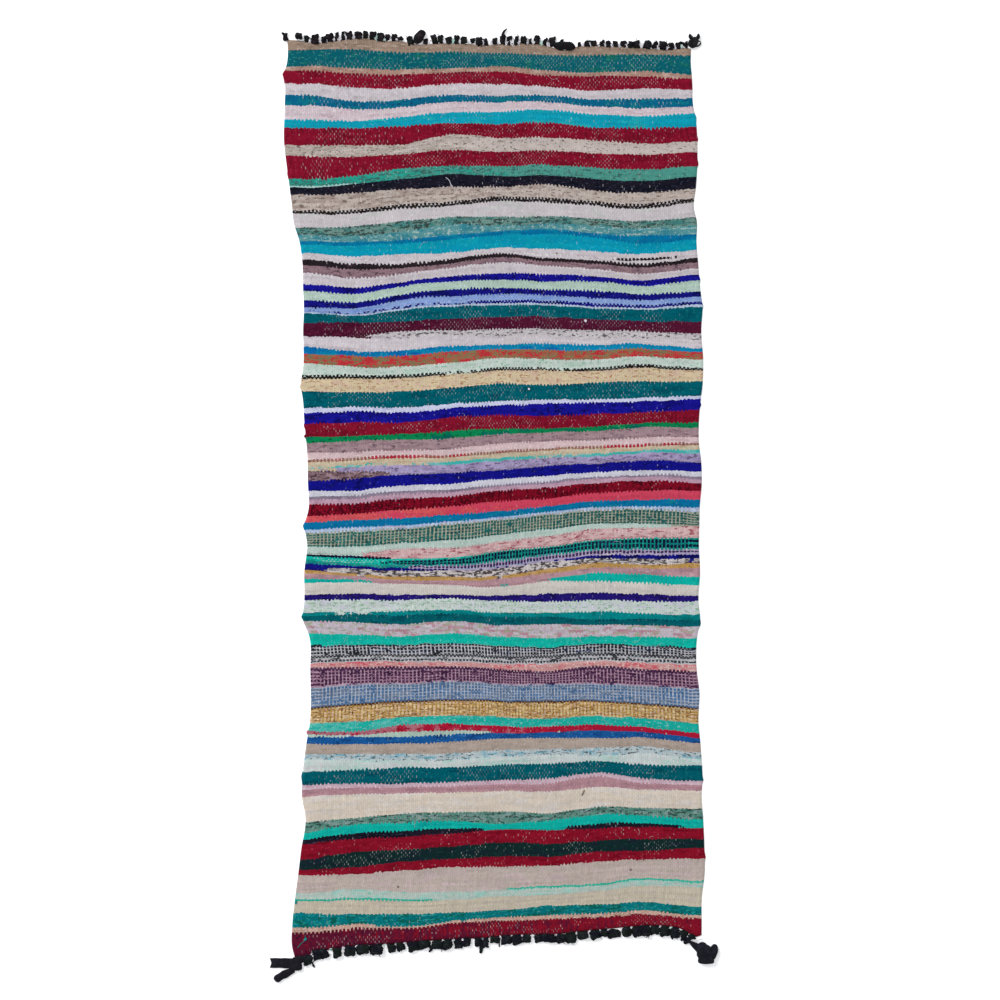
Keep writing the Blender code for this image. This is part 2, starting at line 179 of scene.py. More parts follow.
# %% The heap of rags
# main colour, patches, their share, flecks, their share, warps showing, lean to the left or right, grain
RAGS = {
    "fawn": ("a08876", "8d7866", 0.36, "b8a292", 0.14, 0.05, 0, 0.7),
    "teal_heather": ("0a5f6a", "1c6c60", 0.26, "3f8f80", 0.07, 0.80, 0, 0.5),
    "rosy_tan": ("ae8a7a", "c4a496", 0.35, "8a6258", 0.10, 0.10, 0, 0.7),
    "crimson": ("88122b", "740f24", 0.38, "a02c46", 0.05, 0.60, 0, -0.6),
    "lilac_white": ("d0c7c9", "c4b8bb", 0.30, "dcd4d6", 0.10, 0.00, 0, 0.6),
    "speckled_lilac": ("cdc5c6", "bfb3b7", 0.25, "4a4648", 0.18, 0.00, 0, 0.6),
    "cerulean": ("0b6688", "0f7884", 0.38, "144a6a", 0.12, 0.45, 0, 0.5),
    "pale_pink": ("d6c4c8", "c9b2b8", 0.30, "e2d4d6", 0.10, 0.00, 0, 0.6),
    "cyan": ("10a0b6", "28acb2", 0.30, "0c90a6", 0.08, 0.10, 0, 0.4),
    "greige": ("cabcb3", "b7a99e", 0.28, "6e625b", 0.10, 0.00, 0.6, 0.6),
    "sea_green": ("4f9788", "2aa08e", 0.26, "3c665f", 0.26, 0.15, 1.0, 0.7),
    "aqua_white": ("a8ccc4", "bcd8d0", 0.30, "8cc2b6", 0.05, 0.00, 0, 0.5),
    "navy_black": ("1d1b26", "121420", 0.40, "3a3a4e", 0.08, 0.12, 0, 0.5),
    "taupe": ("c4b5ab", "ac9a90", 0.36, "7a6a60", 0.12, 0.00, 0.3, 0.9),
    "ink": ("221e1e", "181616", 0.30, "3e382e", 0.10, 0.00, 0, 0.6),
    "pearl": ("cac1c2", "c2c2bc", 0.30, "d6d0d1", 0.06, 0.00, 0, 0.3),
    "moss_print": ("73958b", "46837e", 0.42, "33433f", 0.27, 0.30, 0, 0.7),
    "seafoam": ("5b9698", "388490", 0.42, "a3bdb8", 0.16, 0.30, 0, 0.7),
    "ocean": ("06709c", "0b82a2", 0.36, "0a5a88", 0.06, 0.08, 0, 0.5),
    "bright_cyan": ("0898b4", "0c9fb2", 0.34, "2fb0c0", 0.05, 0.06, 0, 0.4),
    "brown_black": ("2a2226", "3e2c32", 0.22, "161416", 0.12, 0.05, 0, 0.6),
    "mauve": ("96787e", "846870", 0.36, "5c464e", 0.14, 0.04, 0, 0.8),
    "royal": ("18148e", "100c62", 0.36, "2a2aa2", 0.05, 0.07, 0, 0.7),
    "celadon": ("b4c9ba", "c3d4ca", 0.30, "9cbca6", 0.08, 0.00, 0, 0.5),
    "deep_royal": ("16167c", "0e0e50", 0.36, "2a3098", 0.06, 0.06, 0, 0.7),
    "periwinkle": ("8aa2d2", "7694cc", 0.30, "a8bade", 0.08, 0.00, 0, 0.5),
    "ice_blue": ("bac8da", "a6bad2", 0.25, "d0d8e4", 0.06, 0.00, 0, 0.5),
    "deep_teal": ("005e6a", "004e5c", 0.36, "1c7478", 0.06, 0.45, 0, 0.4),
    "maroon": ("541530", "440e26", 0.34, "703248", 0.05, 0.50, 0.3, 0.5),
    "lagoon": ("0a84ae", "0a6aa8", 0.26, "30a2b6", 0.06, 0.10, 0.6, 0.1),
    "red_print": ("a8684a", "c4343c", 0.52, "7e7a56", 0.34, 0.00, 0, 0.75),
    "mint_white": ("c9d5ca", "b8ccbd", 0.30, "74b48a", 0.06, 0.00, 0, 0.5),
    "peach_cream": ("dac6a2", "d6b8a0", 0.36, "ae805a", 0.13, 0.00, 0, 0.7),
    "pale_blue": ("cfd0e6", "bcc0de", 0.25, "dfe0ee", 0.10, 0.00, 0, 0.6),
    "emerald": ("0a8650", "046a5a", 0.36, "0a4a34", 0.10, 0.10, 0, 0.5),
    "dusty_mauve": ("a68a8e", "94787e", 0.36, "6a525c", 0.09, 0.06, 0, 0.9),
    "blush": ("dabebe", "ccabad", 0.25, "e6d0ce", 0.08, 0.00, 0, 0.7),
    "red_brown": ("a07466", "b42a3e", 0.46, "6e4a40", 0.10, 0.00, 0, 0.2),
    "sand": ("cdbca0", "c4ae90", 0.35, "dacdb6", 0.08, 0.00, 0, 0.8),
    "thin_aqua": ("44b6ae", "84c0be", 0.38, "30a494", 0.05, 0.00, 0, 0.3),
    "lavender": ("ad9fc2", "9485a6", 0.38, "6c5a7a", 0.15, 0.00, 0, 0.85),
    "brown_mauve": ("806468", "a0848a", 0.40, "46323c", 0.24, 0.06, 0, 0.8),
    "ultramarine": ("151488", "0d0e5a", 0.30, "242c9a", 0.05, 0.06, 0, 0.7),
    "chalk": ("d6d4dc", "c6c4cd", 0.25, "e2e0e4", 0.08, 0.00, 0, 0.5),
    "grey_mauve": ("8e8090", "817286", 0.34, "a696a6", 0.10, 0.00, 0, 0.8),
    "pink_lilac": ("c39dae", "b3899c", 0.34, "d0b0be", 0.08, 0.04, 0, 0.7),
    "oxblood": ("7a0d20", "4c0816", 0.44, "a01230", 0.14, 0.10, 0.2, -1),
    "coral": ("d4465e", "d8585a", 0.26, "ba3c54", 0.08, 0.06, 0.7, 0.2),
    "steel_blue": ("0874a4", "0f8298", 0.32, "0a5c8c", 0.08, 0.08, 0, 0.6),
    "haze": ("a8bcd8", "aca8be", 0.36, "c6d0e0", 0.10, 0.00, 0, 0.5),
    "stone": ("a3a592", "aaa08a", 0.28, "8f9c8c", 0.12, 0.00, 0, 0.5),
    "forest": ("245f5a", "28756c", 0.36, "2a4543", 0.20, 0.00, 0.4, 0.4),
    "soft_mint": ("bfd0c5", "b0c6ba", 0.28, "d0dcd3", 0.08, 0.00, 0, 0.6),
    "pink_print": ("dab6b4", "c89698", 0.34, "9c4452", 0.13, 0.00, 0, 0.95),
    "jade": ("109084", "0c7474", 0.34, "2cb0a0", 0.14, 0.00, 0, 0.4),
    "night": ("0e1630", "1a2648", 0.30, "241c3c", 0.10, 0.00, 0, 0.5),
    "lilac": ("b0a2be", "c8bcc8", 0.30, "9484a6", 0.12, 0.00, 0, 0.7),
    "plum": ("38244e", "2a2048", 0.34, "523a5c", 0.10, 0.00, 0, 0.5),
    "pepper": ("d0c6c2", "a09490", 0.30, "34292c", 0.40, 0.00, 0, 0.8),
    "ochre": ("ba9152", "c8a070", 0.34, "96703c", 0.10, 0.00, 0, 0.7),
    "mauve_pink": ("ba9096", "a88288", 0.34, "c8a2a6", 0.08, 0.00, 0, 0.8),
    "turquoise": ("0fb4a5", "0aa29c", 0.30, "34bcac", 0.05, 0.00, 0, 0.4),
    "cream": ("d6cec4", "cdc6be", 0.28, "ded8d0", 0.06, 0.00, 0, 0.6),
    "violet_navy": ("241670", "17104c", 0.34, "382c84", 0.08, 0.08, 0, 0.7),
    "mint_print": ("ccd6cd", "d2d0da", 0.34, "8eb496", 0.14, 0.00, 0, 0.8),
    "teal": ("058688", "047270", 0.34, "1c9c9c", 0.05, 0.06, 0, 0.5),
    "petrol": ("045e66", "034c58", 0.32, "10706e", 0.05, 0.10, 0, 0.5),
    "faded_print": ("c8bcc4", "ba8a95", 0.32, "a6a88e", 0.20, 0.00, 0, 0.95),
    "bright_turquoise": ("10b8a4", "19aa9b", 0.30, "50c8b8", 0.06, 0.06, 0, 0.4),
    "ash": ("bdbbbd", "a2a5aa", 0.34, "d2d0ce", 0.14, 0.00, 0, 0.4),
    "iron": ("3c3c40", "56585a", 0.34, "222226", 0.16, 0.00, 0, 0.6),
    "coal": ("26262e", "2c3752", 0.34, "1a181e", 0.12, 0.00, 0, 0.3),
    "salmon": ("cf9794", "cf5e68", 0.36, "e2bcb4", 0.20, 0.00, 0, 0.5),
    "rose_grey": ("b0889a", "bf9cab", 0.34, "8c6680", 0.16, 0.00, 0, 0.6),
    "aubergine": ("4a2a49", "603c5a", 0.34, "2a1630", 0.16, 0.00, 0, 0.4),
    "blue_grey": ("a8afbc", "9aa5b4", 0.34, "bcc0c9", 0.12, 0.00, 0, 0.5),
    "denim": ("4e7098", "6a7a92", 0.46, "3c6f96", 0.12, 0.00, 0, 0.2),
    "umber": ("543828", "6e4c34", 0.30, "38241c", 0.12, 0.00, 0, 0.5),
    "butter": ("dabf92", "d6b497", 0.36, "8a5a2c", 0.22, 0.00, 0, 0.8),
    "mustard": ("c0964a", "a67a3e", 0.36, "5e3c1e", 0.22, 0.00, 0, 0.7),
    "worn_turquoise": ("1cb2a2", "50c0b2", 0.30, "98ccc2", 0.06, 0.10, 0.5, 0.5),
    "red_pink": ("b41a38", "b6707c", 0.26, "8c1830", 0.12, 0.15, 0.6, 0.6),
    "cobalt": ("1a5a9a", "113f78", 0.34, "3a74a8", 0.10, 0.06, 0, 0.6),
    "putty": ("b4a396", "a9988a", 0.30, "c0b2a6", 0.08, 0.00, 0, 0.9),
    "dashed_mint": ("bfcbcc", "82b4c2", 0.34, "4e5a5a", 0.15, 0.00, 0, 0.7),
    "misty_mint": ("ccd6d0", "b2d2c6", 0.36, "d8ced2", 0.16, 0.00, 0, 0.2),
    "orchid_white": ("d2b4be", "c6a2ae", 0.28, "dec8d0", 0.08, 0.00, 0, 0.6),
    "dusty_rose": ("b78b92", "aa7e86", 0.34, "c69ea4", 0.06, 0.04, 0, 0.8),
    "oatmeal": ("dccdbb", "dbd1c8", 0.36, "e2d8ca", 0.06, 0.00, 0, 0.4),
    "fern_print": ("5f8f80", "86a09a", 0.36, "2c4a44", 0.26, 0.50, 0, 0.7),
    "ruby": ("8f1228", "7a0c20", 0.36, "a42c44", 0.05, 0.16, 0, 0.6),
    "pine_black": ("112c2b", "17242e", 0.40, "24403c", 0.06, 0.30, 0, 0.5),
    "oat": ("c3b3a9", "c9b3b1", 0.34, "b8a89a", 0.08, 0.00, 0, 0.6),
    "spotted_mint": ("bccabf", "a2d0c2", 0.34, "7ac6b2", 0.06, 0.00, 0, 0.7),
    "mint_thread": ("3cb89e", "62c2ac", 0.30, "22a488", 0.10, 0.00, 0, 0.4),
    "warm_sand": ("ccc0aa", "c8b9ad", 0.28, "d4c8b4", 0.06, 0.00, 0, 0.6),
    "sea_teal": ("07787e", "0a6258", 0.36, "2a9c92", 0.14, 0.12, 0, 0.7),
    "apricot": ("cba391", "b58f7e", 0.36, "dcc4b6", 0.08, 0.00, 0, -0.8),
    "wine": ("8a1428", "64162f", 0.44, "42102a", 0.10, 0.40, 0.8, -1),
}
RAG_NAMES = list(RAGS)
COTTON = "e4e0da"          # the warps
print(len(RAGS), "kinds of rag in the heap")

# %% [markdown]
# ## The order of the rags
# A weaver keeps no drawing, only an order of rags: so much of the tan, then so much of the teal. The
# stripes swell and pinch on the way across, because a rag isn't the same thickness all along and the comb
# doesn't press alike. So each row of this chart gives a rag and how far down its lower edge lies at nine
# places across the loom, read in squares of 2.5 mm. Where a row's edge meets the row above, that rag
# turned back before it got there: it is a wedge.
#
# Two names with a + are two shuttles, A and B, that take turns. Each warp then shows only one of the two
# rags, which makes a ladder. A draft after a colon gives another order of turns: two turns of one rag in a
# row make a line across the ladder, and so a grid. An x with a number gives the number of turns, where a
# line is too thin to be measured. Such a line keeps the small bumps of the line above it.

# %% The chart
SQUARE = 2.5
CHART_MIDDLE = 500
STATIONS = np.arange(-480, 481, 120)     # mm across, one for each number of a row
CHART = (
    ("fawn", 50, 50, 53, 52, 54, 55, 55.5, 54.5, 56),
    ("teal_heather", 66.5, 68.5, 69.5, 68.5, 67, 70.5, 73, 71.5, 75.5),
    ("rosy_tan", 70.5, 74, 75, 72.5, 72.5, 76, 76, 77.5, 79.5),
    ("crimson", 83.5, 88, 88, 84, 85, 87, 91, 89, 90),
    ("lilac_white", 94.5, 102, 99.5, 95, 96.5, 95.5, 99, 99, 98),
    ("cerulean", 105, 109.5, 107, 102, 102.5, 102.5, 107, 109, 107.5),
    ("pale_pink", 120, 122, 117, 112.5, 112, 110, 114, 116.5, 113),
    ("cyan", 127.5, 128.5, 126, 123.5, 124.5, 123.5, 127.5, 128.5, 127.5),
    ("crimson", 145, 146, 144.5, 134.5, 138, 138, 140, 144, 142),
    ("greige", 155.5, 157, 154, 150, 152, 151, 153, 155, 152.5),
    ("crimson", 179.5, 176.5, 168.5, 166, 166, 165.5, 167.5, 169.5, 166.5),
    ("sea_green", 186, 183.5, 178.5, 173.5, 175.5, 175.5, 178, 180.5, 176.5),
    ("aqua_white", 188, 184.2, 178.7, 173.7, 175.7, 175.7, 178.2, 180.7, 176.7),
    ("navy_black", 194.5, 193, 189.5, 187, 187, 185, 191, 193, 189.5),
    ("taupe", 211.5, 210.5, 205.3, 202.2, 196.8, 198.9, 202, 204, 198.6),
    ("pearl+ink:B x2", 213.5, 213.5, 208.8, 205.8, 200.9, 203, 206, 208.8, 202.4),
    ("pearl", 228, 226, 221.5, 217, 217, 217, 219, 221, 218),
    ("moss_print", 235, 236, 232, 224, 226, 224, 226, 228, 226),
    ("seafoam", 241.5, 242, 240.5, 235.5, 231, 229.5, 234, 235, 235),
    ("ocean", 245, 245, 244, 239, 235, 234, 238, 244, 240),
    ("bright_cyan", 253.5, 256, 254.5, 253, 248, 249, 252, 253.5, 250.5),
    ("lilac_white", 258, 260, 260, 257, 252, 256, 258.7, 258.6, 256),
    ("lilac_white+ink:B x1", 258.1, 260.1, 260.1, 257.1, 252.1, 256.1, 259, 260, 256.2),
    ("lilac_white", 259.8, 263.6, 264.8, 259, 253.2, 258.3, 261, 264, 258.6),
    ("brown_black", 266, 269, 268.5, 263.5, 257.5, 261.5, 264.5, 267, 263),
    ("mauve", 273, 277.5, 274, 267.5, 262.5, 265.5, 270, 273.5, 269),
    ("lilac_white", 284.5, 287, 282.5, 276.5, 273.5, 274, 277, 280, 274.5),
    ("royal", 291.5, 293.5, 286, 281.5, 280, 281.5, 282, 285.5, 280.5),
    ("celadon", 300.5, 302, 294.5, 289.5, 288, 289.5, 291.5, 294, 292),
    ("deep_royal", 308.5, 308, 299.5, 296.5, 294, 295, 299, 300, 297),
    ("periwinkle", 311.3, 312.5, 306.5, 303, 301, 301, 304, 305.5, 302),
    ("periwinkle+deep_royal:B x2", 312.3, 314, 308, 304.5, 303, 303, 307, 307.5, 304),
    ("ice_blue", 313.5, 315.5, 310, 306.5, 305, 305, 309, 309.5, 307),
    ("deep_teal", 323.5, 322, 321.5, 319, 317, 316.3, 320, 321.3, 321.7),
    ("maroon", 335.3, 336, 331, 330.7, 329.2, 328.7, 330.5, 331.3, 333.3),
    ("speckled_lilac", 335.6, 337, 338, 337, 336, 334, 338.5, 338, 339.5),
    ("lilac_white", 346.7, 352, 350, 346.3, 344.7, 343, 345, 343.7, 348),
    ("lagoon", 354.7, 356, 355.7, 352, 349.3, 350.3, 350.7, 349, 352),
    ("red_print", 363, 367.3, 366.3, 363.3, 358, 359.3, 359.7, 356.7, 359.3),
    ("mint_white", 375.7, 376, 374.7, 373, 368.3, 368.3, 368.7, 365.3, 368),
    ("mint_white+ink:B x2", 379, 378.7, 377.3, 374.5, 370.3, 370, 370.7, 368, 369.9),
    ("peach_cream", 391.3, 392.7, 391, 388, 383.7, 385, 382.3, 382, 381.3),
    ("deep_teal", 408, 407.3, 407, 404.3, 401.7, 400, 399.3, 398.7, 395.7),
    ("pale_blue", 413.5, 411.7, 412.2, 408.4, 405.3, 403.3, 402, 401.7, 398.7),
    ("royal", 423.7, 422.7, 422, 417.3, 415.3, 416, 413.7, 413, 409.7),
    ("crimson", 436.7, 436.3, 433.3, 430.7, 428.7, 428.7, 426, 423.3, 422.3),
    ("emerald", 443.7, 441, 439.7, 438.7, 434.7, 432.3, 430.7, 427.7, 427.7),
    ("dusty_mauve", 452.7, 452.7, 450.3, 449, 443.7, 441.3, 440, 438, 437),
    ("blush", 460, 458.3, 455.3, 455, 451.3, 448.7, 446, 444.7, 442.7),
    ("sand+red_brown:B x1", 462.3, 460.7, 457.7, 456.7, 453.7, 450, 447.7, 446.8, 445),
    ("sand", 468, 465.3, 463.3, 461.7, 458.3, 455.7, 453.7, 450.7, 449.7),
    ("thin_aqua x2", 469.4, 467, 464.5, 464, 460.7, 457.3, 455.7, 452.7, 453.3),
    ("lavender", 470.2, 471.3, 473.5, 471.7, 469.7, 465.3, 462.7, 460, 462),
    ("brown_mauve x3", 481.3, 478.7, 474, 471.9, 469.9, 465.5, 462.9, 460.2, 462.2),
    ("ultramarine", 490.7, 491, 485.3, 483.3, 479, 475.7, 471.7, 470.3, 471.7),
    ("chalk", 496, 494.7, 491, 488.7, 485, 481.3, 477, 475, 475.7),
    ("grey_mauve", 500, 499, 494, 492, 487, 483.7, 478.7, 476.7, 479.7),
    ("pink_lilac", 504, 503.3, 498.7, 496, 490.7, 487.7, 482.7, 480.7, 483.3),
    ("oxblood", 516.3, 513.7, 510, 505.7, 501.5, 498.7, 492.7, 490.3, 491),
    ("coral", 522.3, 519.7, 518.3, 514, 511.3, 506.3, 500.8, 499.7, 500),
    ("steel_blue", 529.3, 526.7, 525.3, 521, 517.3, 511.7, 507, 506, 507.5),
    ("haze", 533.7, 530.7, 529, 523.3, 519.7, 514.3, 510.3, 508.7, 513.3),
    ("stone+forest", 546, 546, 542.7, 539.3, 534.7, 529, 523.7, 523, 525.7),
    ("soft_mint", 553.3, 553.3, 549, 547.3, 541.7, 536, 528.7, 527.3, 526),
    ("pink_print", 553.4, 555.3, 558.3, 556.7, 550, 546, 539.3, 536.7, 537.5),
    ("night x1", 555.6, 558.3, 558.4, 556.8, 550.1, 546.1, 539.4, 536.8, 537.6),
    ("bright_turquoise", 559.4, 562.4, 560.4, 558.2, 550.4, 546.3, 539.6, 537, 537.8),
    ("jade+night", 560.4, 564.4, 565.7, 565, 561, 555.3, 550, 549.3, 550),
    ("lilac+plum", 562, 565, 567.4, 569.3, 567.3, 561, 555.3, 553.3, 553.7),
    ("deep_royal", 568.7, 569, 572, 569.8, 567.8, 561.3, 558.7, 560, 560.7),
    ("pepper", 569.3, 574, 576.7, 576.7, 576, 569.3, 562.7, 564.3, 563),
    ("ochre", 573.3, 575.7, 580.7, 580.3, 578, 573.3, 567.7, 567.7, 568),
    ("mauve_pink", 578.7, 579.7, 583, 584, 585, 579.3, 572.7, 574, 577),
    ("turquoise", 582.7, 581.7, 583.6, 584.6, 586.3, 581, 582, 583, 586),
    ("cream", 594.7, 593.7, 595, 595, 595.3, 594, 592.7, 593.7, 596),
    ("violet_navy", 600, 599.3, 600, 598.3, 600.3, 602, 600, 601, 601.3),
    ("mint_print", 612.3, 612.3, 611, 610, 612, 613, 611, 613, 614),
    ("teal", 616, 613.5, 615, 614, 616, 617, 620, 619, 620),
    ("petrol", 620.7, 622.3, 624.3, 621.3, 624.7, 624.3, 624.7, 625, 626.3),
    ("faded_print", 633.3, 634.3, 636.3, 634, 636, 638.3, 636.3, 636.7, 637.7),
    ("bright_turquoise", 645.3, 644.3, 644.3, 643.3, 645, 647.3, 643.3, 645.3, 647),
    ("coal x1", 646.3, 644.5, 644.4, 643.4, 645.1, 647.4, 643.4, 645.9, 648.9),
    ("ash+coal:BA", 655.7, 653.8, 653.8, 654, 655, 655, 652.5, 654, 655.5),
    ("ash+iron:BBAABA", 663.7, 661.3, 661.3, 662, 663.3, 663.3, 660.7, 662.3, 663.7),
    ("salmon", 667.3, 667.3, 666.7, 667, 669, 671.7, 666.3, 669.7, 670.7),
    ("rose_grey+aubergine:BBABABABABABABB", 688, 684, 683.3, 681.3, 683.7, 684, 683.7, 685.7, 687.7),
    ("blue_grey+denim", 708, 703.7, 700.7, 699.7, 700.7, 700.7, 700.7, 703.7, 707.3),
    ("umber x1", 709.3, 704.9, 701.9, 700.9, 701.9, 701.8, 701.8, 704.8, 708.4),
    ("mustard+butter", 723.3, 721.3, 716.7, 715.3, 716.7, 718, 716, 718, 722.7),
    ("worn_turquoise", 731.3, 731.3, 724.3, 723.3, 726.3, 726, 724.7, 727.3, 732.7),
    ("red_pink", 734.7, 735, 730.7, 730, 732.7, 731, 729.7, 731.3, 736.7),
    ("celadon", 737.7, 736.3, 737.7, 734.7, 732.9, 731.2, 729.9, 731.5, 736.9),
    ("cobalt", 744, 744.3, 743.3, 741.7, 738.7, 737.3, 738.3, 737.7, 743),
    ("putty", 755.3, 753.7, 753.7, 753, 750.3, 749, 748, 746.3, 752.3),
    ("dashed_mint", 759.3, 760, 760, 760, 757, 754, 756, 753, 759),
    ("misty_mint", 772.3, 769.7, 767, 767, 764.7, 763, 761, 764.7, 765.3),
    ("deep_teal", 785, 783.7, 783.7, 781.7, 780.7, 778, 772.7, 778.3, 781),
    ("orchid_white", 790, 787.5, 787, 785.5, 784.5, 783, 776, 783, 785),
    ("dusty_rose", 796.3, 794, 793, 792, 791.3, 791, 787.3, 789.3, 790.7),
    ("oatmeal", 822, 818, 813.3, 812, 811.3, 813, 806.7, 807.7, 808.3),
    ("fern_print", 832.7, 824.3, 822.7, 820.3, 824.3, 820.3, 814, 815.3, 819.3),
    ("turquoise", 838.7, 833.3, 830.3, 828, 828.7, 829, 823.3, 823.3, 826.7),
    ("navy_black", 843.3, 839.3, 836.7, 833.3, 828.8, 829.1, 828, 826.7, 827.7),
    ("ruby", 858.7, 852, 849.3, 846, 842.3, 843.7, 840, 838.7, 838.7),
    ("pine_black", 869.3, 867.3, 861.3, 858.7, 856, 856.7, 851, 850.7, 847.3),
    ("ruby", 874.3, 874.3, 870.3, 866.7, 866.3, 865.7, 861.3, 859.3, 858.7),
    ("oat", 891.7, 888.3, 891, 890.3, 888.3, 886.3, 883.3, 878, 881),
    ("mint_thread x1", 891.8, 888.4, 891.1, 890.4, 889, 887.8, 884.9, 879.6, 882.8),
    ("spotted_mint", 898.9, 898, 899, 899, 895, 894.7, 889.7, 884.8, 886),
    ("mint_thread x1", 900.6, 899.8, 900.8, 899.1, 895.1, 894.8, 889.8, 884.9, 886.1),
    ("warm_sand", 912.3, 914, 913.7, 912.3, 909.7, 906, 904, 902, 906.7),
    ("sea_teal", 927.7, 924, 926, 920.7, 916.7, 915.3, 913, 910.3, 915.3),
    ("apricot", 929.6, 926, 925.6, 921.4, 919, 918.5, 916, 912.7, 917.2),
    ("apricot+wine x2", 934.6, 931, 930.6, 924.8, 921.6, 920.6, 917.6, 914.2, 918.9),
    ("wine", 962, 946.7, 944, 940, 936, 934.7, 930.7, 927.3, 936),
)


def from_chart(x, y):
    """Across and along, in millimetres, of places given in squares of the chart."""
    return (x - CHART_MIDDLE) * SQUARE, (CHART_MIDDLE - y) * SQUARE


print(len(CHART), "stripes from head to foot")

# %% [markdown]
# ## From stripes to picks
# One pass of the weft is a pick. Each stripe gets as many picks as fit its mean height, and all its picks
# share its swelling and pinching. The lines between stripes get a slow wander, because the comb never
# leaves them straight, which fades out at the two ends.

# %% Lines between the stripes
WANDER_FADE = 40.0         # mm from the head or foot edge, over which the lines are calmed
# height of a slow wander, its wave across and along, and where it starts
WANDER = ((0.7, 61.0, 143.0, 0.4), (0.6, 37.0, 97.0, 2.1), (0.5, 19.0, 71.0, 4.0))
# height and wave of the bumps that each line has to itself, and the wave in which they come and go
BUMPS = ((1.0, 11.0), (0.85, 6.1), (0.5, 3.5))
BUMP_SPELL = 47.0
LIVELY = (0.4, 1.2)        # a line's bumps are this many times as high, from the calmest to the liveliest
ONCE_ROUND = 6.28          # radians

ruler = np.linspace(-560, 530, 437)      # a place every 2.5 mm across the rug and past its selvedges
INSIDE = slice(40, -40)                  # the places that lie on the cloth all along the rug


def read_stripe(words):
    """A chart name's rags, its draft of turns as letters, and its number of picks, or 0."""
    words, _, given = words.partition(" x")
    words, _, draft = words.partition(":")
    names = words.split("+")
    return names, draft or "AB"[:len(names)], int(given or 0)


def end_line(edge):
    """One end of the cloth, along the ruler."""
    return through(ruler, *np.array(edge, float).T)


stripes = [read_stripe(row[0]) for row in CHART]
lines = [end_line(HEAD_EDGE)]
for row in CHART[:-1]:
    lines.append(through(ruler, STATIONS, from_chart(0, np.array(row[1:]))[1]))
lines.append(end_line(FOOT_EDGE))
head_line, foot_line = lines[0], lines[-1]
draw = np.random.default_rng(12)
bumps = 0 * ruler
for (_, _, thin), line in zip(stripes, lines[1:-1]):
    room = np.minimum(head_line - line, line - foot_line)
    fade = np.clip(room / WANDER_FADE, 0, 1)
    middle = line.mean()
    for size, across_wave, along_wave, phase in WANDER:
        line += fade * size * np.sin(ruler / across_wave + middle / along_wave + phase)
    if not thin:
        lively = draw.uniform(*LIVELY)
        bumps = sum(
            lively * size * (0.5 + 0.5 * np.sin(ruler / BUMP_SPELL + draw.uniform(0, ONCE_ROUND)))
            * np.sin(ruler / wave + draw.uniform(0, ONCE_ROUND)) for size, wave in BUMPS
        )
    line += fade * bumps
print(len(lines), "lines from the head edge to the foot edge")

# %% Picks
PICK_HEIGHT = 5.6          # mm from one pick to the next
LADDER_PICK = 3.6          # thinner rags go into the ladders
LEAST_PICK = 0.22          # a pinched pick is still there,
LEAST_ROOM = 1.9           # but its rag has run out where it is lower than this,
ROOM_LUCK = 0.8            # give or take half of this
THICK_DARK = 0.6           # how much wider the second shuttle's beads are in a ladder
TOOTH = (0.30, 0.80)       # how far the teeth of a stripe reach, from tightly to loosely beaten


def picks_in(stripe, high, low):
    """The number of picks in a stripe between two lines: the given one, or as many as fit."""
    names, _, given = stripe
    usual = PICK_HEIGHT if len(names) == 1 else LADDER_PICK
    return given or max(1, round((high - low)[INSIDE].mean() / usual))


def rag_above(k):
    """The rag of the nearest stripe above that isn't a thin line."""
    thick = [names[0] for names, _, thin in stripes[:k] if not thin]
    return thick[-1] if thick else stripes[k][0][0]


counts = [picks_in(*each) for each in zip(stripes, lines, lines[1:])]
for k in range(1, len(lines) - 1):
    lines[k] = np.minimum(lines[k], lines[k - 1] - LEAST_PICK * counts[k - 1])
for k in range(len(lines) - 2, 0, -1):
    lines[k] = np.maximum(lines[k], lines[k + 1] + LEAST_PICK * counts[k])

# for each pick: its lower line, its rag, what stands in for that, its teeth, what peeps out, its thickness
pick_lines, pick_rags, pick_stand_in, pick_habit, pick_peep, pick_body = [lines[0]], [], [], [], [], []
for k, ((names, draft, _), count, high, low) in enumerate(zip(stripes, counts, lines, lines[1:])):
    is_ladder = len(names) > 1
    pinched = ((high - low) / count)[INSIDE].min() < LEAST_ROOM + ROOM_LUCK / 2
    stand_in = rag_above(k) if pinched else names[-1]
    body = draw.normal(0, 1)
    tooth = draw.uniform(*TOOTH)
    for n in range(count):
        second = "AB".index(draft[n % len(draft)])
        odd_columns = (len(pick_rags) + second) % 2 == 0
        wide = THICK_DARK * is_ladder * (1 if odd_columns else -1)
        pick_lines.append(high + (low - high) * (n + 1) / count)
        pick_rags.append(RAG_NAMES.index(names[second]))
        pick_stand_in.append((RAG_NAMES.index(stand_in), float(not pinched)))
        pick_habit.append((tooth, float(is_ladder), 0.5 + 0.5 * wide, 1.0))
        pick_peep.append(RAGS[names[0]][0] if is_ladder else COTTON)
        pick_body.append(body)
PICKS = len(pick_rags)
print(PICKS, "picks")

# %% [markdown]
# ## The cloth as a mesh
# In plain weave the weft shows as little beads, one wherever it passes over a warp. The next warp's beads
# sit half a step further on. So a grid with one vertex for each crossing of a warp and a pick can carry the
# real relief: up where the weft is on top, down where it dives. That is about as fine as the cloth shows
# from a step away, and it stays a light mesh.
#
# The grid is closed below by a flat underside, and its rim is rounded in, so it is one closed sheet. Two UV
# maps go with it. "weave" counts warps and picks, and the colours are read from it. The other only lays the
# cloth out flat for baking.

# %% The grid of crossings
WARPS = 220
CLOTH = 6.0                # height of the cloth's top where the weave lies flat
RIM_HEIGHT = 2.5           # height at which the rim starts to turn under,
RIM_INSET = 1.3            # and how far in it has turned at the floor
BODY = 0.35                # how far one stripe's rags stand above or below the next, in mm
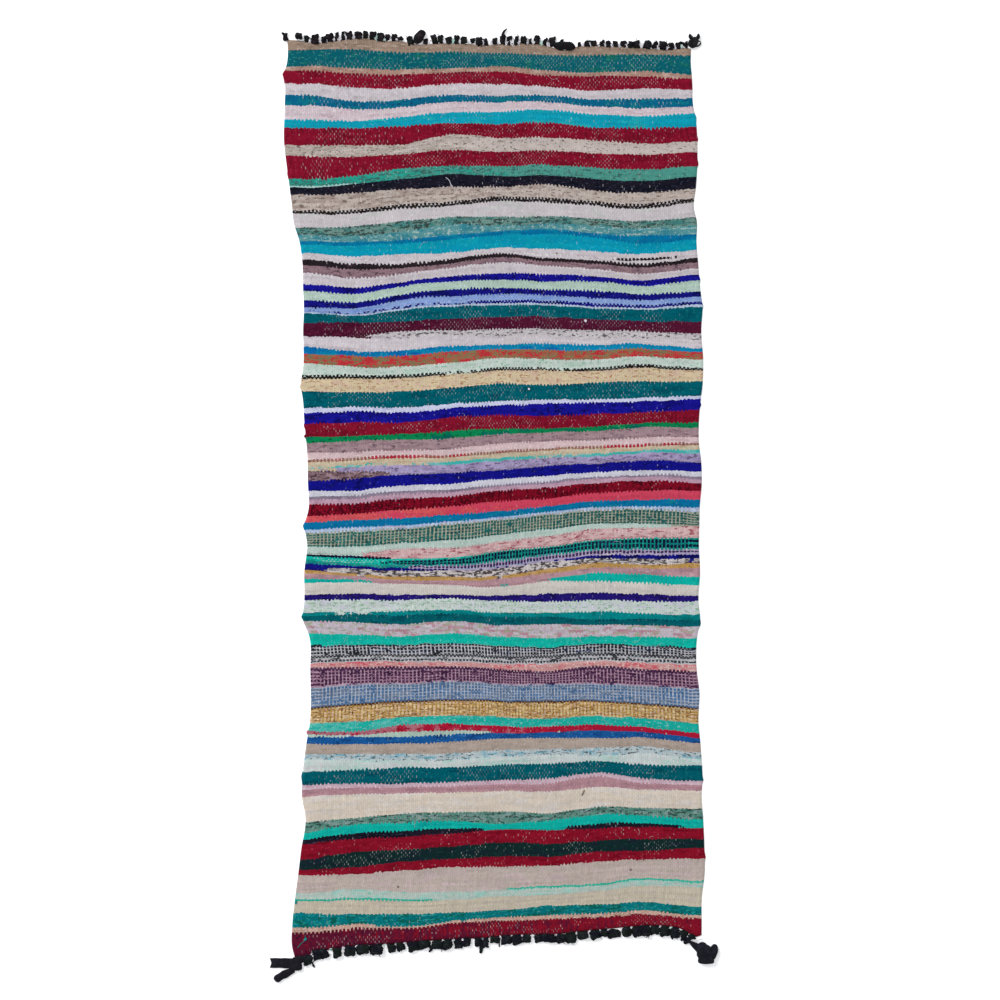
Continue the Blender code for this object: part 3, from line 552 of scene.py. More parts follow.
# the solid's swells: pitch, rise, sway, and the sway's wave across and along
RIDGE = (112.0, 0.8, 14.0, 190.0, 310.0)
# the solid's puckers: rise, width, length, drift, and the drift's wave along and across
PUCKER = (0.7, 120.0, 88.0, 1.6, 230.0, 420.0)
# share of the width, and how far apart the warps stand there beside the mean
CROWDING = (
    (0, 1.05), (0.20, 1.05), (0.33, 1.12), (0.45, 0.88), (0.58, 0.88), (0.72, 1.0), (0.88, 1.07), (1, 1.07),
)

warp_at = np.concatenate(([0.0], np.arange(WARPS) + 0.5, [WARPS]))
pick_at = np.concatenate(([0.0], np.arange(PICKS) + 0.5, [PICKS]))
fine = np.linspace(0, 1, 1001)
warps_passed = np.cumsum(1 / through(fine, *np.array(CROWDING, float).T))
warps_passed = (warps_passed - warps_passed[0]) / (warps_passed[-1] - warps_passed[0])
share = np.interp(warp_at / WARPS, warps_passed, fine)


def crossing_row(pick):
    """Across and along of every warp at a place counted in picks from the head, and the pick's height."""
    low = min(int(pick), PICKS - 1)
    height = pick_lines[low] - pick_lines[low + 1]
    line = pick_lines[low] - height * (pick - low)
    across = -530 + 1020 * share       # a first guess, which four rounds put right
    for _ in range(4):
        across = warp_lines(np.interp(across, ruler, line), share)
    return across, np.interp(across, ruler, line), np.interp(across, ruler, height)


def relief(across, along):
    """The height of the solid's top: soft swells and slow puckers."""
    pitch, rise, sway, across_wave, along_wave = RIDGE
    ridge = np.sin(2 * np.pi * (along + sway * np.sin(across / across_wave + along / along_wave)) / pitch)
    high, width, length, drift, drift_along, drift_across = PUCKER
    first = np.sin(across / width + drift * np.sin(along / drift_along))
    return CLOTH + rise * ridge + high * first * np.sin(along / length + across / drift_across)


top = np.zeros((PICKS + 2, WARPS + 2, 3))
room = np.zeros(top.shape[:2])
for k, pick in enumerate(pick_at):
    top[k, :, 0], top[k, :, 1], room[k] = crossing_row(pick)
body = np.interp(pick_at, np.arange(PICKS) + 0.5, np.convolve(pick_body, [0.25, 0.5, 0.25], "same"))
top[:, :, 2] = relief(top[:, :, 0], top[:, :, 1]) + BODY * body[:, None]
for edge in (np.s_[0, :, 2], np.s_[-1, :, 2], np.s_[:, 0, 2], np.s_[:, -1, 2]):
    top[edge] = RIM_HEIGHT
over = np.where(np.add.outer(np.arange(PICKS + 2), np.arange(WARPS + 2)) % 2 == 0, 1.0, -1.0)
over[[0, -1], :] = over[:, [0, -1]] = 0

# The material has to know how high each pick is, and a value between two rows would mix two picks. So one
# map holds the heights of the even picks and one those of the odd picks.
beside = np.minimum(np.vstack([room[:1], room[:-1]]), np.vstack([room[1:], room[-1:]]))
is_even = np.arange(PICKS + 2)[:, None] % 2 == 1
even_room = np.where(is_even, room, beside)
odd_room = np.where(is_even, beside, room)
print("grid:", top.shape[:2])

# %% Faces of the closed sheet
UNDER_ENDS = 14            # rows at each end of the underside that are one face, up to the wavy edge


def rim_of(rows, columns):
    """The grid's border as (row, column) pairs, once round against the clock seen from above."""
    head = [(0, c) for c in range(columns - 1, 0, -1)]
    left = [(r, 0) for r in range(rows - 1)]
    foot = [(rows - 1, c) for c in range(columns - 1)]
    right = [(r, columns - 1) for r in range(rows - 1, 0, -1)]
    return head + left + foot + right


def under_faces(rows, columns):
    """The underside, as places on the rim: a large face at each end, and strips from side to side."""
    last = rows - 1
    near, far = UNDER_ENDS, last - UNDER_ENDS
    head = [(r, 0) for r in range(near, 0, -1)] + [(0, c) for c in range(columns)]
    head += [(r, columns - 1) for r in range(1, near + 1)]
    foot = [(r, columns - 1) for r in range(far, last)] + [(last, c) for c in range(columns - 1, -1, -1)]
    foot += [(r, 0) for r in range(last - 1, far - 1, -1)]
    strips = [[(r + 1, 0), (r, 0), (r, columns - 1), (r + 1, columns - 1)] for r in range(near, far)]
    return [head, foot, *strips]


def sheet_faces(rows, columns, rim, floor_of):
    """The faces of the top, the rim and the underside, and which of the three each one is."""
    number = np.arange(rows * columns).reshape(rows, columns)
    corners = (number[1:, :-1], number[1:, 1:], number[:-1, 1:], number[:-1, :-1])
    faces = [tuple(face) for face in np.stack(corners, -1).reshape(-1, 4).tolist()]
    kinds = ["top"] * len(faces)
    for here, there in zip(rim, rim[1:] + rim[:1]):
        faces.append((number[here], floor_of[here], floor_of[there], number[there]))
        kinds.append("rim")
    for places in under_faces(rows, columns):
        faces.append(tuple(floor_of[place] for place in places))
        kinds.append("under")
    return faces, kinds


# %% The closed sheet
# on the baking map: start and width of the top and of the underside, start and length of both, the rim
BAKE_TOP = (0.02, 0.78)
BAKE_UNDER = (0.84, 0.15)
BAKE_ALONG = (0.98, 0.96)
BAKE_RIM = 0.012


def bake_map(weave, turned_in, under):
    """The cloth laid out flat: the top with its rim outside it, and the underside beside them."""
    along = BAKE_ALONG[0] - BAKE_ALONG[1] * weave[:, 1] / PICKS
    flat = np.stack([BAKE_TOP[0] + BAKE_TOP[1] * weave[:, 0] / WARPS, along], -1)
    outwards = np.where(flat < (BAKE_TOP[0] + BAKE_TOP[1] / 2, 0.5), -BAKE_RIM, BAKE_RIM)
    at_edge = np.stack([np.isin(weave[:, 0], (0, WARPS)), np.isin(weave[:, 1], (0, PICKS))], -1)
    flat += outwards * turned_in[:, None] * at_edge
    flat[under, 0] = BAKE_UNDER[0] + BAKE_UNDER[1] * weave[under, 0] / WARPS
    return flat


def closed_sheet(name):
    """The top grid, its rim turned down and in, and a flat underside; with two UV maps."""
    rows, columns = top.shape[:2]
    rim = rim_of(rows, columns)
    floor_of = {place: rows * columns + k for k, place in enumerate(rim)}
    floor = np.array([top[place] for place in rim])
    floor[:, 0] += RIM_INSET * np.sign(0.5 * WARPS - warp_at[[c for _, c in rim]])
    floor[:, 1] -= RIM_INSET * np.sign(0.5 * PICKS - pick_at[[r for r, _ in rim]])
    floor[:, 2] = 0
    vertices = placed(np.vstack([top.reshape(-1, 3), floor]))
    places = [(r, c) for r in range(rows) for c in range(columns)] + rim
    counted = np.array([(warp_at[c], pick_at[r]) for r, c in places])

    faces, kinds = sheet_faces(rows, columns, rim, floor_of)
    mesh = bpy.data.meshes.new(name)
    mesh.from_pydata(vertices.tolist(), [], faces)
    corner_vertex = np.zeros(len(mesh.loops), np.int32)
    mesh.loops.foreach_get("vertex_index", corner_vertex)
    corner_kind = np.repeat(np.array(kinds), [len(face) for face in faces])
    weave = counted[corner_vertex]
    turned_in = (corner_kind == "rim") & (corner_vertex >= rows * columns)
    for label, uv in (("weave", weave), ("OFBake", bake_map(weave, turned_in, corner_kind == "under"))):
        mesh.uv_layers.new(name=label).uv.foreach_set("vector", uv.astype(np.float32).ravel())
    for label, values in (("crossing", over), ("even_room", even_room), ("odd_room", odd_room)):
        values = np.array([values[place] for place in places], np.float32)
        mesh.attributes.new(label, "FLOAT", "POINT").data.foreach_set("value", values)
    return new_object(name, mesh)


cloth = closed_sheet("rag_cloth")
print("cloth:", len(cloth.data.vertices), "vertices,", len(cloth.data.polygons), "faces")

# %% [markdown]
# ## Nodes from Python
# Shader and geometry nodes are easier to read as sums. This small class wraps one output socket. Adding or
# multiplying two of them adds the Math node that does it, so `1 - mask` means what it says. Colours go
# through Mix nodes instead, because a Math node would turn them grey. Every other node comes from `make`,
# which sets the node's own settings first and then its sockets.

# %% A socket that can be added and multiplied
class Wire:
    """An output socket of a node tree that takes part in Python expressions."""

    def __init__(self, socket):
        self.socket = socket
        self.tree = socket.id_data

    @classmethod
    def make(cls, tree, kind, settings, sockets, output=0):
        """Adds a node of a kind, with its settings first, then its sockets set or linked."""
        node = tree.nodes.new(kind)
        for name, value in settings.items():
            if name == "stops":
                cls.fill(node.color_ramp, value)
            else:
                setattr(node, name, value)
        for key, value in sockets.items():
            for one in value if isinstance(value, list) else [value]:
                if isinstance(one, Wire):
                    tree.links.new(one.socket, node.inputs[key])
                else:
                    node.inputs[key].default_value = one
        return cls(node.outputs[output])

    @staticmethod
    def fill(ramp, stops):
        """Gives a colour ramp its stops, each a place and a colour, with no blending between them."""
        ramp.interpolation = "CONSTANT"
        while len(ramp.elements) > 1:
            ramp.elements.remove(ramp.elements[-1])
        for k, (place, colour) in enumerate(stops):
            element = ramp.elements[0] if k == 0 else ramp.elements.new(place)
            element.position = place
            element.color = colour

    def math(self, operation, *others):
        """A Math node on this value and the others."""
        values = dict(enumerate((self, *others)))
        return Wire.make(self.tree, "ShaderNodeMath", {"operation": operation}, values)

    def __add__(self, other):
        return self.math("ADD", other)

    __radd__ = __add__

    def __mul__(self, other):
        return self.math("MULTIPLY", other)

    __rmul__ = __mul__

    def __sub__(self, other):
        return self.math("SUBTRACT", other)

    def __rsub__(self, other):
        return self * -1 + other

    def __truediv__(self, other):
        return self.math("DIVIDE", other)

    def __pow__(self, other):
        return self.math("POWER", other)

    def __abs__(self):
        return self.math("ABSOLUTE")

    def above(self, other):
        """1 where this is greater, else 0."""
        return self.math("GREATER_THAN", other)

    def rising(self, low, high):
        """From 0 at low to 1 at high, smoothly."""
        settings = {"interpolation_type": "SMOOTHSTEP"}
        sockets = {"Value": self, "From Min": low, "From Max": high}
        return Wire.make(self.tree, "ShaderNodeMapRange", settings, sockets)

    def parts(self):
        """A vector's or a colour's three numbers."""
        first = Wire.make(self.tree, "ShaderNodeSeparateXYZ", {}, {0: self})
        return [Wire(output) for output in first.socket.node.outputs]

    def into(self, socket):
        """Links this to an input socket."""
        self.tree.links.new(self.socket, socket)


def point(x, y, z=0.0):
    """Three values as one vector."""
    tree = next(value.tree for value in (x, y, z) if isinstance(value, Wire))
    return Wire.make(tree, "ShaderNodeCombineXYZ", {}, {"X": x, "Y": y, "Z": z})


def mixed(amount, first, second, mode="MIX"):
    """A colour from first to second, by an amount from 0 to 1."""
    tree = next(value.tree for value in (amount, first, second) if isinstance(value, Wire))
    settings = {"data_type": "RGBA", "blend_type": mode, "clamp_factor": True}
    return Wire.make(tree, "ShaderNodeMix", settings, {0: amount, 6: first, 7: second}, 2)


def noise(at, scale, detail=2.0, flat=True, output="Fac"):
    """Soft noise between 0 and 1."""
    settings = {"noise_dimensions": "2D" if flat else "3D"}
    sockets = {"Vector": at, "Scale": scale, "Detail": detail}
    return Wire.make(at.tree, "ShaderNodeTexNoise", settings, sockets, output)


def clouds(x, y, detail=1.0):
    """Soft noise over two numbers, with about one hump for each whole step of either."""
    return noise(point(x, y), 1.0, detail)


def scatter(x, y):
    """A different number between 0 and 1 for each pair of numbers."""
    settings = {"noise_dimensions": "2D"}
    return Wire.make(x.tree, "ShaderNodeTexWhiteNoise", settings, {"Vector": point(x, y)}, "Value")


def bumps_of(height, strength, depth):
    """The normal of a surface with small bumps, up to so many metres deep."""
    sockets = {"Strength": strength, "Distance": depth, "Height": height}
    return Wire.make(height.tree, "ShaderNodeBump", {}, sockets)


def linear(code):
    """A colour written as six hex digits, as the linear RGBA that shaders want."""
    values = np.array([int(code[k:k + 2], 16) for k in (0, 2, 4)]) / 255
    values = np.where(values <= 0.04045, values / 12.92, ((values + 0.055) / 1.055) ** 2.4)
    return (*values.tolist(), 1.0)


def new_finish(name, roughness=0.9, gloss=0.15):
    """A material with a Principled shader, that shader's sockets, and the tree they are in."""
    made = bpy.data.materials.new(name)
    made.use_nodes = True
    shader = made.node_tree.nodes["Principled BSDF"].inputs
    shader["Roughness"].default_value = roughness
    shader["Specular IOR Level"].default_value = gloss
    return made, shader, made.node_tree


print("colours are linear:", [round(x, 3) for x in linear(RAGS["crimson"][0])])

# %% [markdown]
# ## Long lists in a shader
# A shader has no lists, but a colour ramp with constant steps is one: place in, colour out. One ramp holds
# 32 stops and is kept as 256 samples, so a long list is cut into several ramps, each read at the middle of
# its entry, and the right one is picked by a chain of mixes. With this, the cloth's material can look up
# which rag a pick has, and then what that rag looks like.

# %% Looking up a list
RAMP_STOPS = 32
RAMP_ENTRIES = 100


def look_up(number, entries):
    """The entry with that number, from a list of colours, through a chain of constant ramps."""
    found, start = None, 0
    while start < len(entries):
        stops, end = [start], start + 1
        while end < len(entries) and end - start < RAMP_ENTRIES:
            if entries[end] != entries[end - 1]:
                if len(stops) == RAMP_STOPS:
                    break
                stops.append(end)
            end += 1
        span = end - start
        colours = [((k - start) / span, entries[k]) for k in stops]
        place = (number + (0.5 - start)) / span
        here = Wire.make(number.tree, "ShaderNodeValToRGB", {"stops": colours}, {"Fac": place}, "Color")
        found = here if found is None else mixed(number.above(start - 0.5), found, here)
        start = end
    return found


def grey(value):
    """A number as a colour."""
    return (value, value, value, 1.0)


# %% [markdown]
# ## The woven rags' material
# The "weave" map says which warp and which pick a point is at. On even warps the even picks lie on top, on
# odd warps the odd ones. So where one rag follows another, its beads reach half a pick up on every other
# warp, and the edge gets teeth. How far they reach depends on how tightly the rag was beaten. Two shuttles
# make a ladder, for each warp then shows one rag only, and a single pick shows as a row of dashes.
#
# At the selvedges the rags turn back and lie flat, so the teeth fade out there, and a tall pick's line hardly
# wavers. Where a wedge has run out, its pick takes the rag above it. In a ladder with enough room it takes
# the second shuttle's rag, which also lies over a few warps together here and there, as a clump. Patches and
# flecks follow the pick, since they are printed on the rag. Where the beat was slack, the pale warp peeps out
# between two beads; in a ladder it is the paler rag that does. The bump adds what is finer than the mesh: the
# roundness of each bead and the creases in it.

# %% Where a point lies in the weave
TEETH_FADE = (2.0, 9.0)    # warps from the selvedge, between which the teeth grow to their full reach


def from_side(warps, low, high):
    """0 up to so many warps in from the selvedge, rising to 1 further in."""
    return warps.math("MINIMUM", WARPS - warps).rising(low, high)


def room_of(pick):
    """The height of a pick at this place, in mm, from the map that holds it."""
    is_odd = pick.math("FLOORED_MODULO", 2.0)
    even, odd = (
        Wire.make(pick.tree, "ShaderNodeAttribute", {"attribute_name": name}, {}, "Fac")
        for name in ("even_room", "odd_room")
    )
    return even * (1 - is_odd) + odd * is_odd


def wavering(warps, picks, fuzz):
    """The count of picks with its lines made to waver, and how far a tall pick holds them back."""
    slack = clouds(warps * 0.9, picks * 0.31) - 0.5
    sway = clouds(warps * 0.07, picks * 0.5) - 0.5
    ragged = clouds(warps * 0.035, picks * 0.09 + 3.0).rising(0.52, 0.70)
    firm = ((room_of(picks.math("FLOOR")) / PICK_HEIGHT) ** -1).math("MINIMUM", 1.0)
    return picks + firm * ((0.5 + 0.9 * ragged) * slack + 0.5 * sway + 0.35 * fuzz), firm


def weave_place(tree):
    """Which warp a point is on, which pick lies on top of it, and where in that bead the point is."""
    warps, picks, _ = Wire.make(tree, "ShaderNodeUVMap", {"uv_map": "weave"}, {}).parts()
    fuzz = clouds(warps * 1.3, picks * 2.4, 2.0) - 0.5
    inside = from_side(warps, *TEETH_FADE)
    wavy, firm = wavering(warps, picks, fuzz)
    border = (wavy + 0.5).math("FLOOR")
    tooth, ladder, wide = look_up(border, [*pick_habit, pick_habit[-1]]).parts()
    columns = warps + (wide - 0.5) * 0.5 * ((warps - 1) * math.pi).math("COSINE")
    warp = columns.math("FLOOR")
    off = abs(2 * (columns - warp) - 1)

    # how far the pick on one side of the border reaches over it, on this warp
    beat = clouds(warps * 0.08, border * 1.7, 2.0).rising(0.38, 0.58)
    toothed = tooth * (0.15 + beat) * (0.5 + 0.9 * scatter(warp, border + 0.5))
    held = 0.55 + 0.5 * clouds(warps * 0.10, border * 0.4 + 5.0).rising(0.34, 0.50)
    held = held * (0.60 + 0.55 * scatter(warp + 0.5, border) ** 0.4)
    reach = (toothed + ladder * (held - toothed)) * (0.06 + 0.94 * inside)
    side = 1 - 2 * (border + warp).math("FLOORED_MODULO", 2.0)
    reach = 0.5 * reach * firm * side * (1 - off ** (2 + 5 * ladder))
    pick = border - 1 + wavy.above(border - reach)

    # the gap between the beads above and below, of which a warp has one for every two picks
    step = (wavy + 0.5 - warp.math("FLOORED_MODULO", 2.0)) / 2
    gap = (step + 0.5).math("FLOOR")
    return SimpleNamespace(
        warps=warps, picks=picks, fuzz=fuzz, inside=inside, ladder=ladder, warp=warp, off=off, pick=pick,
        own=scatter(warp, pick), gap=gap, at_gap=1 - abs(step - gap) * 2,
    )


# %% Which rag a point shows
CLUMP_FROM = 0.65          # the noise above which the second shuttle's rag lies over the first one's


def rag_on_top(place):
    """The number of the rag here, or of the one that stands in where it has run out or is covered."""
    least = LEAST_ROOM + (place.own - 0.5) * ROOM_LUCK
    ran_out = (least - room_of(place.pick)).above(0.0)
    rag = look_up(place.pick, [grey(k / len(RAGS)) for k in pick_rags]).parts()[0]
    others = [(k / len(RAGS), may_clump, 0.0, 1.0) for k, may_clump in pick_stand_in]
    stand_in, may_clump, _ = look_up(place.pick, others).parts()
    clump = clouds(place.warps * 0.22, place.picks * 0.30 + 17.0).above(CLUMP_FROM)
    hidden = ran_out.math("MAXIMUM", clump * place.ladder * may_clump)
    return (rag * (1 - hidden) + stand_in * hidden) * len(RAGS)


# %% What that rag looks like there
def rag_colour(place, rag):
    """The rag's colour with its patches, flecks and shades, and how far the warps show between its turns."""
    warps, picks, pick = place.warps, place.picks, place.pick
    looks = list(RAGS.values())
    main, patch, fleck = (look_up(rag, [linear(look[k]) for look in looks]) for k in (0, 1, 3))
    shares = [(look[2], look[4], look[5], 1.0) for look in looks]
    patch_share, fleck_share, warp_share = look_up(rag, shares).parts()
    leans = [(0.5 + look[6] / 2, max(look[7], 0.0), max(-look[7], 0.0), 1.0) for look in looks]
    lean, grain, upright = look_up(rag, leans).parts()

    blotch = clouds(warps * 0.055, pick * 0.35 + rag, 4.0) - 0.5
    streak = clouds(warps * 0.13, pick * 5.3, 3.0) - 0.5
    stroke = clouds(warps * 0.62, picks * 0.14 + rag * 2.9, 2.0) - 0.5
    spread = 1.25 * (blotch + grain * (streak - blotch) + upright * (stroke - 0.4 * blotch))
    to_left = (lean - 0.5) * (0.5 - warps / WARPS) * 3
    spread = spread + 0.25 * place.fuzz + (patch_share + to_left - 0.5) * 0.5
    colour = mixed(spread.rising(-0.07, 0.07), main, patch)

    stretch = clouds(warps * 0.085, pick * 0.9 + 31.0, 2.0).rising(0.40, 0.62)
    often = (fleck_share * (0.35 + 1.5 * stretch) * (1 + to_left)).math("MINIMUM", 0.5)
    crumb = clouds(warps * (0.75 - 0.5 * grain) + rag * 3.7, picks * 1.3, 2.0)
    colour = mixed((crumb - 0.68 + 0.46 * often).rising(-0.02, 0.05) * 0.9, colour, fleck)

    tone = scatter(pick, rag + 0.5) - 0.5
    drift = clouds(warps * 0.05, pick * 1.3, 2.0) - 0.5
    rib = clouds(warps * 0.5, picks * 0.07) - 0.5
    shade = 0.97 + (0.12 + 0.22 * place.ladder) * (place.own - 0.5) + 0.10 * tone
    shade = shade + 0.28 * drift + 0.15 * rib + 0.14 * place.fuzz
    return mixed(1.0, colour, point(shade, shade, shade), "MULTIPLY"), warp_share


# %% What peeps out between two beads
PEEP_FADE = (3.0, 22.0)    # warps from the selvedge, between which the peeps set in


def peeping(place, warp_share):
    """How far the warp, or in a ladder the paler rag, shows through at this place."""
    warps, gap, ladder = place.warps, place.gap, place.ladder
    hollow = clouds(warps * 0.05, place.picks * 0.11 + 9.0, 3.0).rising(0.43, 0.60)
    thin_turn = clouds(warps * 0.03, gap * 2.3).rising(0.36, 0.62)
    woven_open = warp_share * (0.30 + 2.2 * hollow * (0.4 + 0.6 * thin_turn)) * from_side(warps, *PEEP_FADE)
    open_share = woven_open + ladder * (0.38 + 0.6 * hollow - woven_open)
    bright = 0.16 + 0.70 * scatter(gap, place.warp) ** 1.8
    bright = bright + ladder * (0.85 - bright)
    wide = (1 - place.off + 0.6 * ladder).rising(0.35, 0.95)
    high = place.at_gap.rising(0.45 + 0.16 * ladder, 0.80 + 0.12 * ladder)
    return open_share.above(scatter(place.warp + 0.25, gap)) * bright * (wide * high)


# %% Cloth material
PEEP_TINT = 0.55           # how far a peeping warp keeps its own colour between the turns of a rag
# how far the painted shade in the grooves between the beads darkens the colour
PAINTED_GROOVE_SHADE = 0.13


def weave_material():
    """The finish of the cloth, worked out from where each point lies in the weave."""
    made, shader, tree = new_finish("striped_rag_weave_finish", gloss=0.03)
    place = weave_place(tree)
    off, at_gap, own = place.off, place.at_gap, place.own
    colour, warp_share = rag_colour(place, rag_on_top(place))
    peep = peeping(place, warp_share)
    paler = look_up(place.pick, [linear(code) for code in pick_peep])
    colour = mixed(peep, colour, mixed(PEEP_TINT + (1 - PEEP_TINT) * place.ladder, colour, paler))

    # Painted shade: the colour is darkened towards black at the edges of each column and in the gaps between
    # beads, where shade falls in the grooves, and less where a warp peeps out.
    beside = off.rising(0.45, 1.0) * (0.3 + 0.7 * place.inside)
    between = at_gap.rising(0.80, 1.0) * 0.8 * place.inside
    painted_groove_shade = beside.math("MAXIMUM", between) * PAINTED_GROOVE_SHADE * (1 - peep)
    mixed(painted_groove_shade, colour, (0.0, 0.0, 0.0, 1.0)).into(shader["Base Color"])

    creases = clouds(place.warps * 0.9 + own * 9.0, place.picks * 3.1 + own * 5.0, 3.0)
    height = (1 - off ** 2) * 0.45 + (1 - at_gap ** 4) * 0.35 + creases * 0.55
    bumps_of(height, 0.5, 0.001).into(shader["Normal"])
    (0.84 + 0.12 * creases).into(shader["Roughness"])
    print("cloth material:", len(tree.nodes), "nodes")
    return made


weave_finish = weave_material()

# %% [markdown]
# ## Raising the weave
# The relief follows one rule for every crossing, so Geometry Nodes raise it: each vertex goes up or down by
# its "crossing" value, a little unevenly, since no two turns of rag are alike. The tree ends in Realize
# Instances and Set Material, and the result is kept as a plain mesh.

# %% Helpers for geometry trees
def new_tree(name, sockets):
    """An empty geometry tree with a geometry input and output and named inputs for its sizes."""
    tree = bpy.data.node_groups.new(name, "GeometryNodeTree")
    tree.is_modifier = True
    tree.interface.new_socket("Geometry", in_out="INPUT", socket_type="NodeSocketGeometry")
    tree.interface.new_socket("Geometry", in_out="OUTPUT", socket_type="NodeSocketGeometry")
    for label, kind in sockets:
        tree.interface.new_socket(label, in_out="INPUT", socket_type="NodeSocket" + kind)
    entry = tree.nodes.new("NodeGroupInput")
    return tree, {output.name: Wire(output) for output in entry.outputs if output.name}


def realized(shape):
    """A shape with its instances made real."""
    return Wire.make(shape.tree, "GeometryNodeRealizeInstances", {}, {0: shape})


def end_tree(shape, finish):
    """Ends a shape's tree: instances are realised, and all gets one material."""
    sockets = {"Geometry": realized(shape), "Material": finish}
    done = Wire.make(shape.tree, "GeometryNodeSetMaterial", {}, sockets)
    done.into(shape.tree.nodes.new("NodeGroupOutput").inputs[0])


def run_tree(made, tree, values):
    """Runs a tree on an object and keeps the result as its plain mesh."""
    modifier = made.modifiers.new(tree.name, "NODES")
    modifier.node_group = tree
    for item in tree.interface.items_tree:
        if item.in_out == "INPUT" and item.name in values:
            modifier[item.identifier] = values[item.name]
    graph = bpy.context.evaluated_depsgraph_get()
    evaluated = made.evaluated_get(graph)
    mesh = bpy.data.meshes.new_from_object(evaluated, preserve_all_data_layers=True, depsgraph=graph)
    made.modifiers.clear()
    old, made.data = made.data, mesh
    bpy.data.meshes.remove(old)
    mesh.name = made.name
    mesh.shade_smooth()
    return made


def read(tree, name, kind="FLOAT"):
    """A named attribute of the geometry."""
    settings = {"data_type": kind}
    return Wire.make(tree, "GeometryNodeInputNamedAttribute", settings, {"Name": name}, "Attribute")


def chance(tree, low, high, seed):
    """A random number for each point."""
    sockets = {2: low, 3: high, "Seed": seed}
    return Wire.make(tree, "FunctionNodeRandomValue", {"data_type": "FLOAT"}, sockets, 1)


# %% The weave's relief
tree, given = new_tree("weave_relief", (("Bead Rise", "Float"), ("Stray", "Float"), ("Seed", "Int")))
crossing = read(tree, "crossing")
rise = crossing * given["Bead Rise"] * chance(tree, 0.55, 1.35, given["Seed"])
loose = abs(crossing) * given["Stray"]
lift = point(loose * chance(tree, -1.0, 1.0, 21), loose * chance(tree, -1.0, 1.0, 22), rise)
raised = Wire.make(tree, "GeometryNodeSetPosition", {}, {"Geometry": given["Geometry"], "Offset": lift})
end_tree(raised, weave_finish)
run_tree(cloth, tree, {"Bead Rise": 0.85 * MM, "Stray": 0.35 * MM, "Seed": 3})
cloth.data.calc_loop_triangles()
print("cloth:", len(cloth.data.loop_triangles), "triangles")

# %% [markdown]
# ## Black knots
# Along both ends the weaver tied strips of black jersey round small bunches of warps. A knot is a few tight
# turns, so it is made as what it is: a coil of a thick strip, put on one point for each knot and stretched
# to that knot's width and reach. The points come from a list read along each edge, in squares of the chart.
# The coil's root lies over the cloth's last picks, and noise pushes its turns about, so that no two knots
# are the same. Cut jersey curls and frays, so short snippets are then strewn over the turns, which breaks
# up their outline as it does on the real ones.

# %% The knots' places
# from, to, top and foot of each knot, in squares of the chart
HEAD_KNOTS = (
    (282.5, 287.5, 33, 40), (295, 302, 33, 39), (304, 309, 35.5, 41.5), (312, 320, 34, 43.5),
    (320, 327, 37, 41.5), (327, 334, 33, 41), (334, 338, 32, 41), (341, 345, 31.5, 40),
    (347, 354, 31, 38.5), (354, 361, 31, 38.5), (363, 369, 31, 38), (370, 376, 31.5, 39),
    (377, 384, 32, 41), (385, 390, 34, 40), (391, 397, 34, 40.5), (398, 403, 36, 40.5),
    (406, 413, 36, 44), (424, 429, 38, 44), (431, 437, 34, 43.5),
    (438, 444, 35, 43), (446, 452, 36, 43), (453, 459, 34.5, 43), (461, 468, 37, 43),
    (470, 475, 38, 43), (476, 483, 37.5, 45), (484, 489, 38, 45), (493, 498, 38, 44),
    (499, 505, 34, 44), (507, 512, 36, 45.5), (513, 518, 36, 45), (520, 526, 35.5, 44),
    (528, 532, 38, 44), (534, 540, 35, 44), (543, 547, 38, 45), (549, 556, 37.5, 46),
    (578, 582, 42, 46), (584, 590, 40, 46), (591, 597, 40, 46), (599, 604, 41, 46.5),
    (606, 612, 40.5, 47), (612, 618, 40.5, 47), (620, 626, 40, 47), (627, 633, 41, 47.5),
    (634, 641, 40, 47), (642, 650, 40, 48), (652, 657, 41, 48), (658, 666, 41, 49),
    (667, 674, 42, 49), (675, 680, 42.5, 49), (683, 688, 42, 47),
)
FOOT_KNOTS = (
    (304, 312, 956, 965), (313, 320, 950, 961), (322, 329, 949, 959), (333, 341, 948, 958),
    (346, 356, 946, 957), (358, 370, 945, 954.5), (372, 384, 945, 955.5), (387, 395, 944, 953),
    (397, 404, 943, 951), (407, 418, 942.5, 952), (419, 429, 941, 949), (433, 443, 940.5, 949.5),
    (443, 453, 940, 949.5), (455, 462, 940, 949), (464, 472, 938.5, 947), (474, 483, 938, 947),
    (483, 490, 938, 948), (491, 499, 936.5, 943.5), (501, 511, 936, 945), (512, 521, 935.5, 945),
    (523, 531, 935, 943), (534, 541, 935, 943), (541, 556, 934.5, 942), (557, 566, 934.5, 943),
    (566, 576, 933, 943), (578, 589, 931.5, 940), (590, 600, 930.5, 940), (600, 608, 930, 937),
    (609, 620, 930, 938), (622, 631, 928, 937), (632, 643, 927, 937), (643, 651, 926.5, 937),
    (651, 660, 926, 935), (660, 670, 926.5, 937), (671, 679, 928.5, 939), (679, 686, 931, 941),
    (684, 690, 936, 944), (687, 694, 935, 940),
)
HEAD_KNOT_HEIGHT = 13.0
FOOT_KNOT_HEIGHT = 15.0
HEAD_SPREAD = 1.16         # knots are this much wider than they were read, since their edges are ragged
FOOT_SPREAD = 1.30
USUAL_KNOT = 17            # mm; a wider knot stands higher, and a narrower one lower


def scattered_points(name, places, **values):
    """One vertex for each place, carrying named numbers or vectors for the trees below."""
    mesh = bpy.data.meshes.new(name)
    mesh.from_pydata(placed(places).tolist(), [], [])
    for label, value in values.items():
        value = np.asarray(value, np.float32)
        kind, field = ("FLOAT_VECTOR", "vector") if value.ndim == 2 else ("FLOAT", "value")
        mesh.attributes.new(label, kind, "POINT").data.foreach_set(field, value.ravel())
    return new_object(name, mesh)


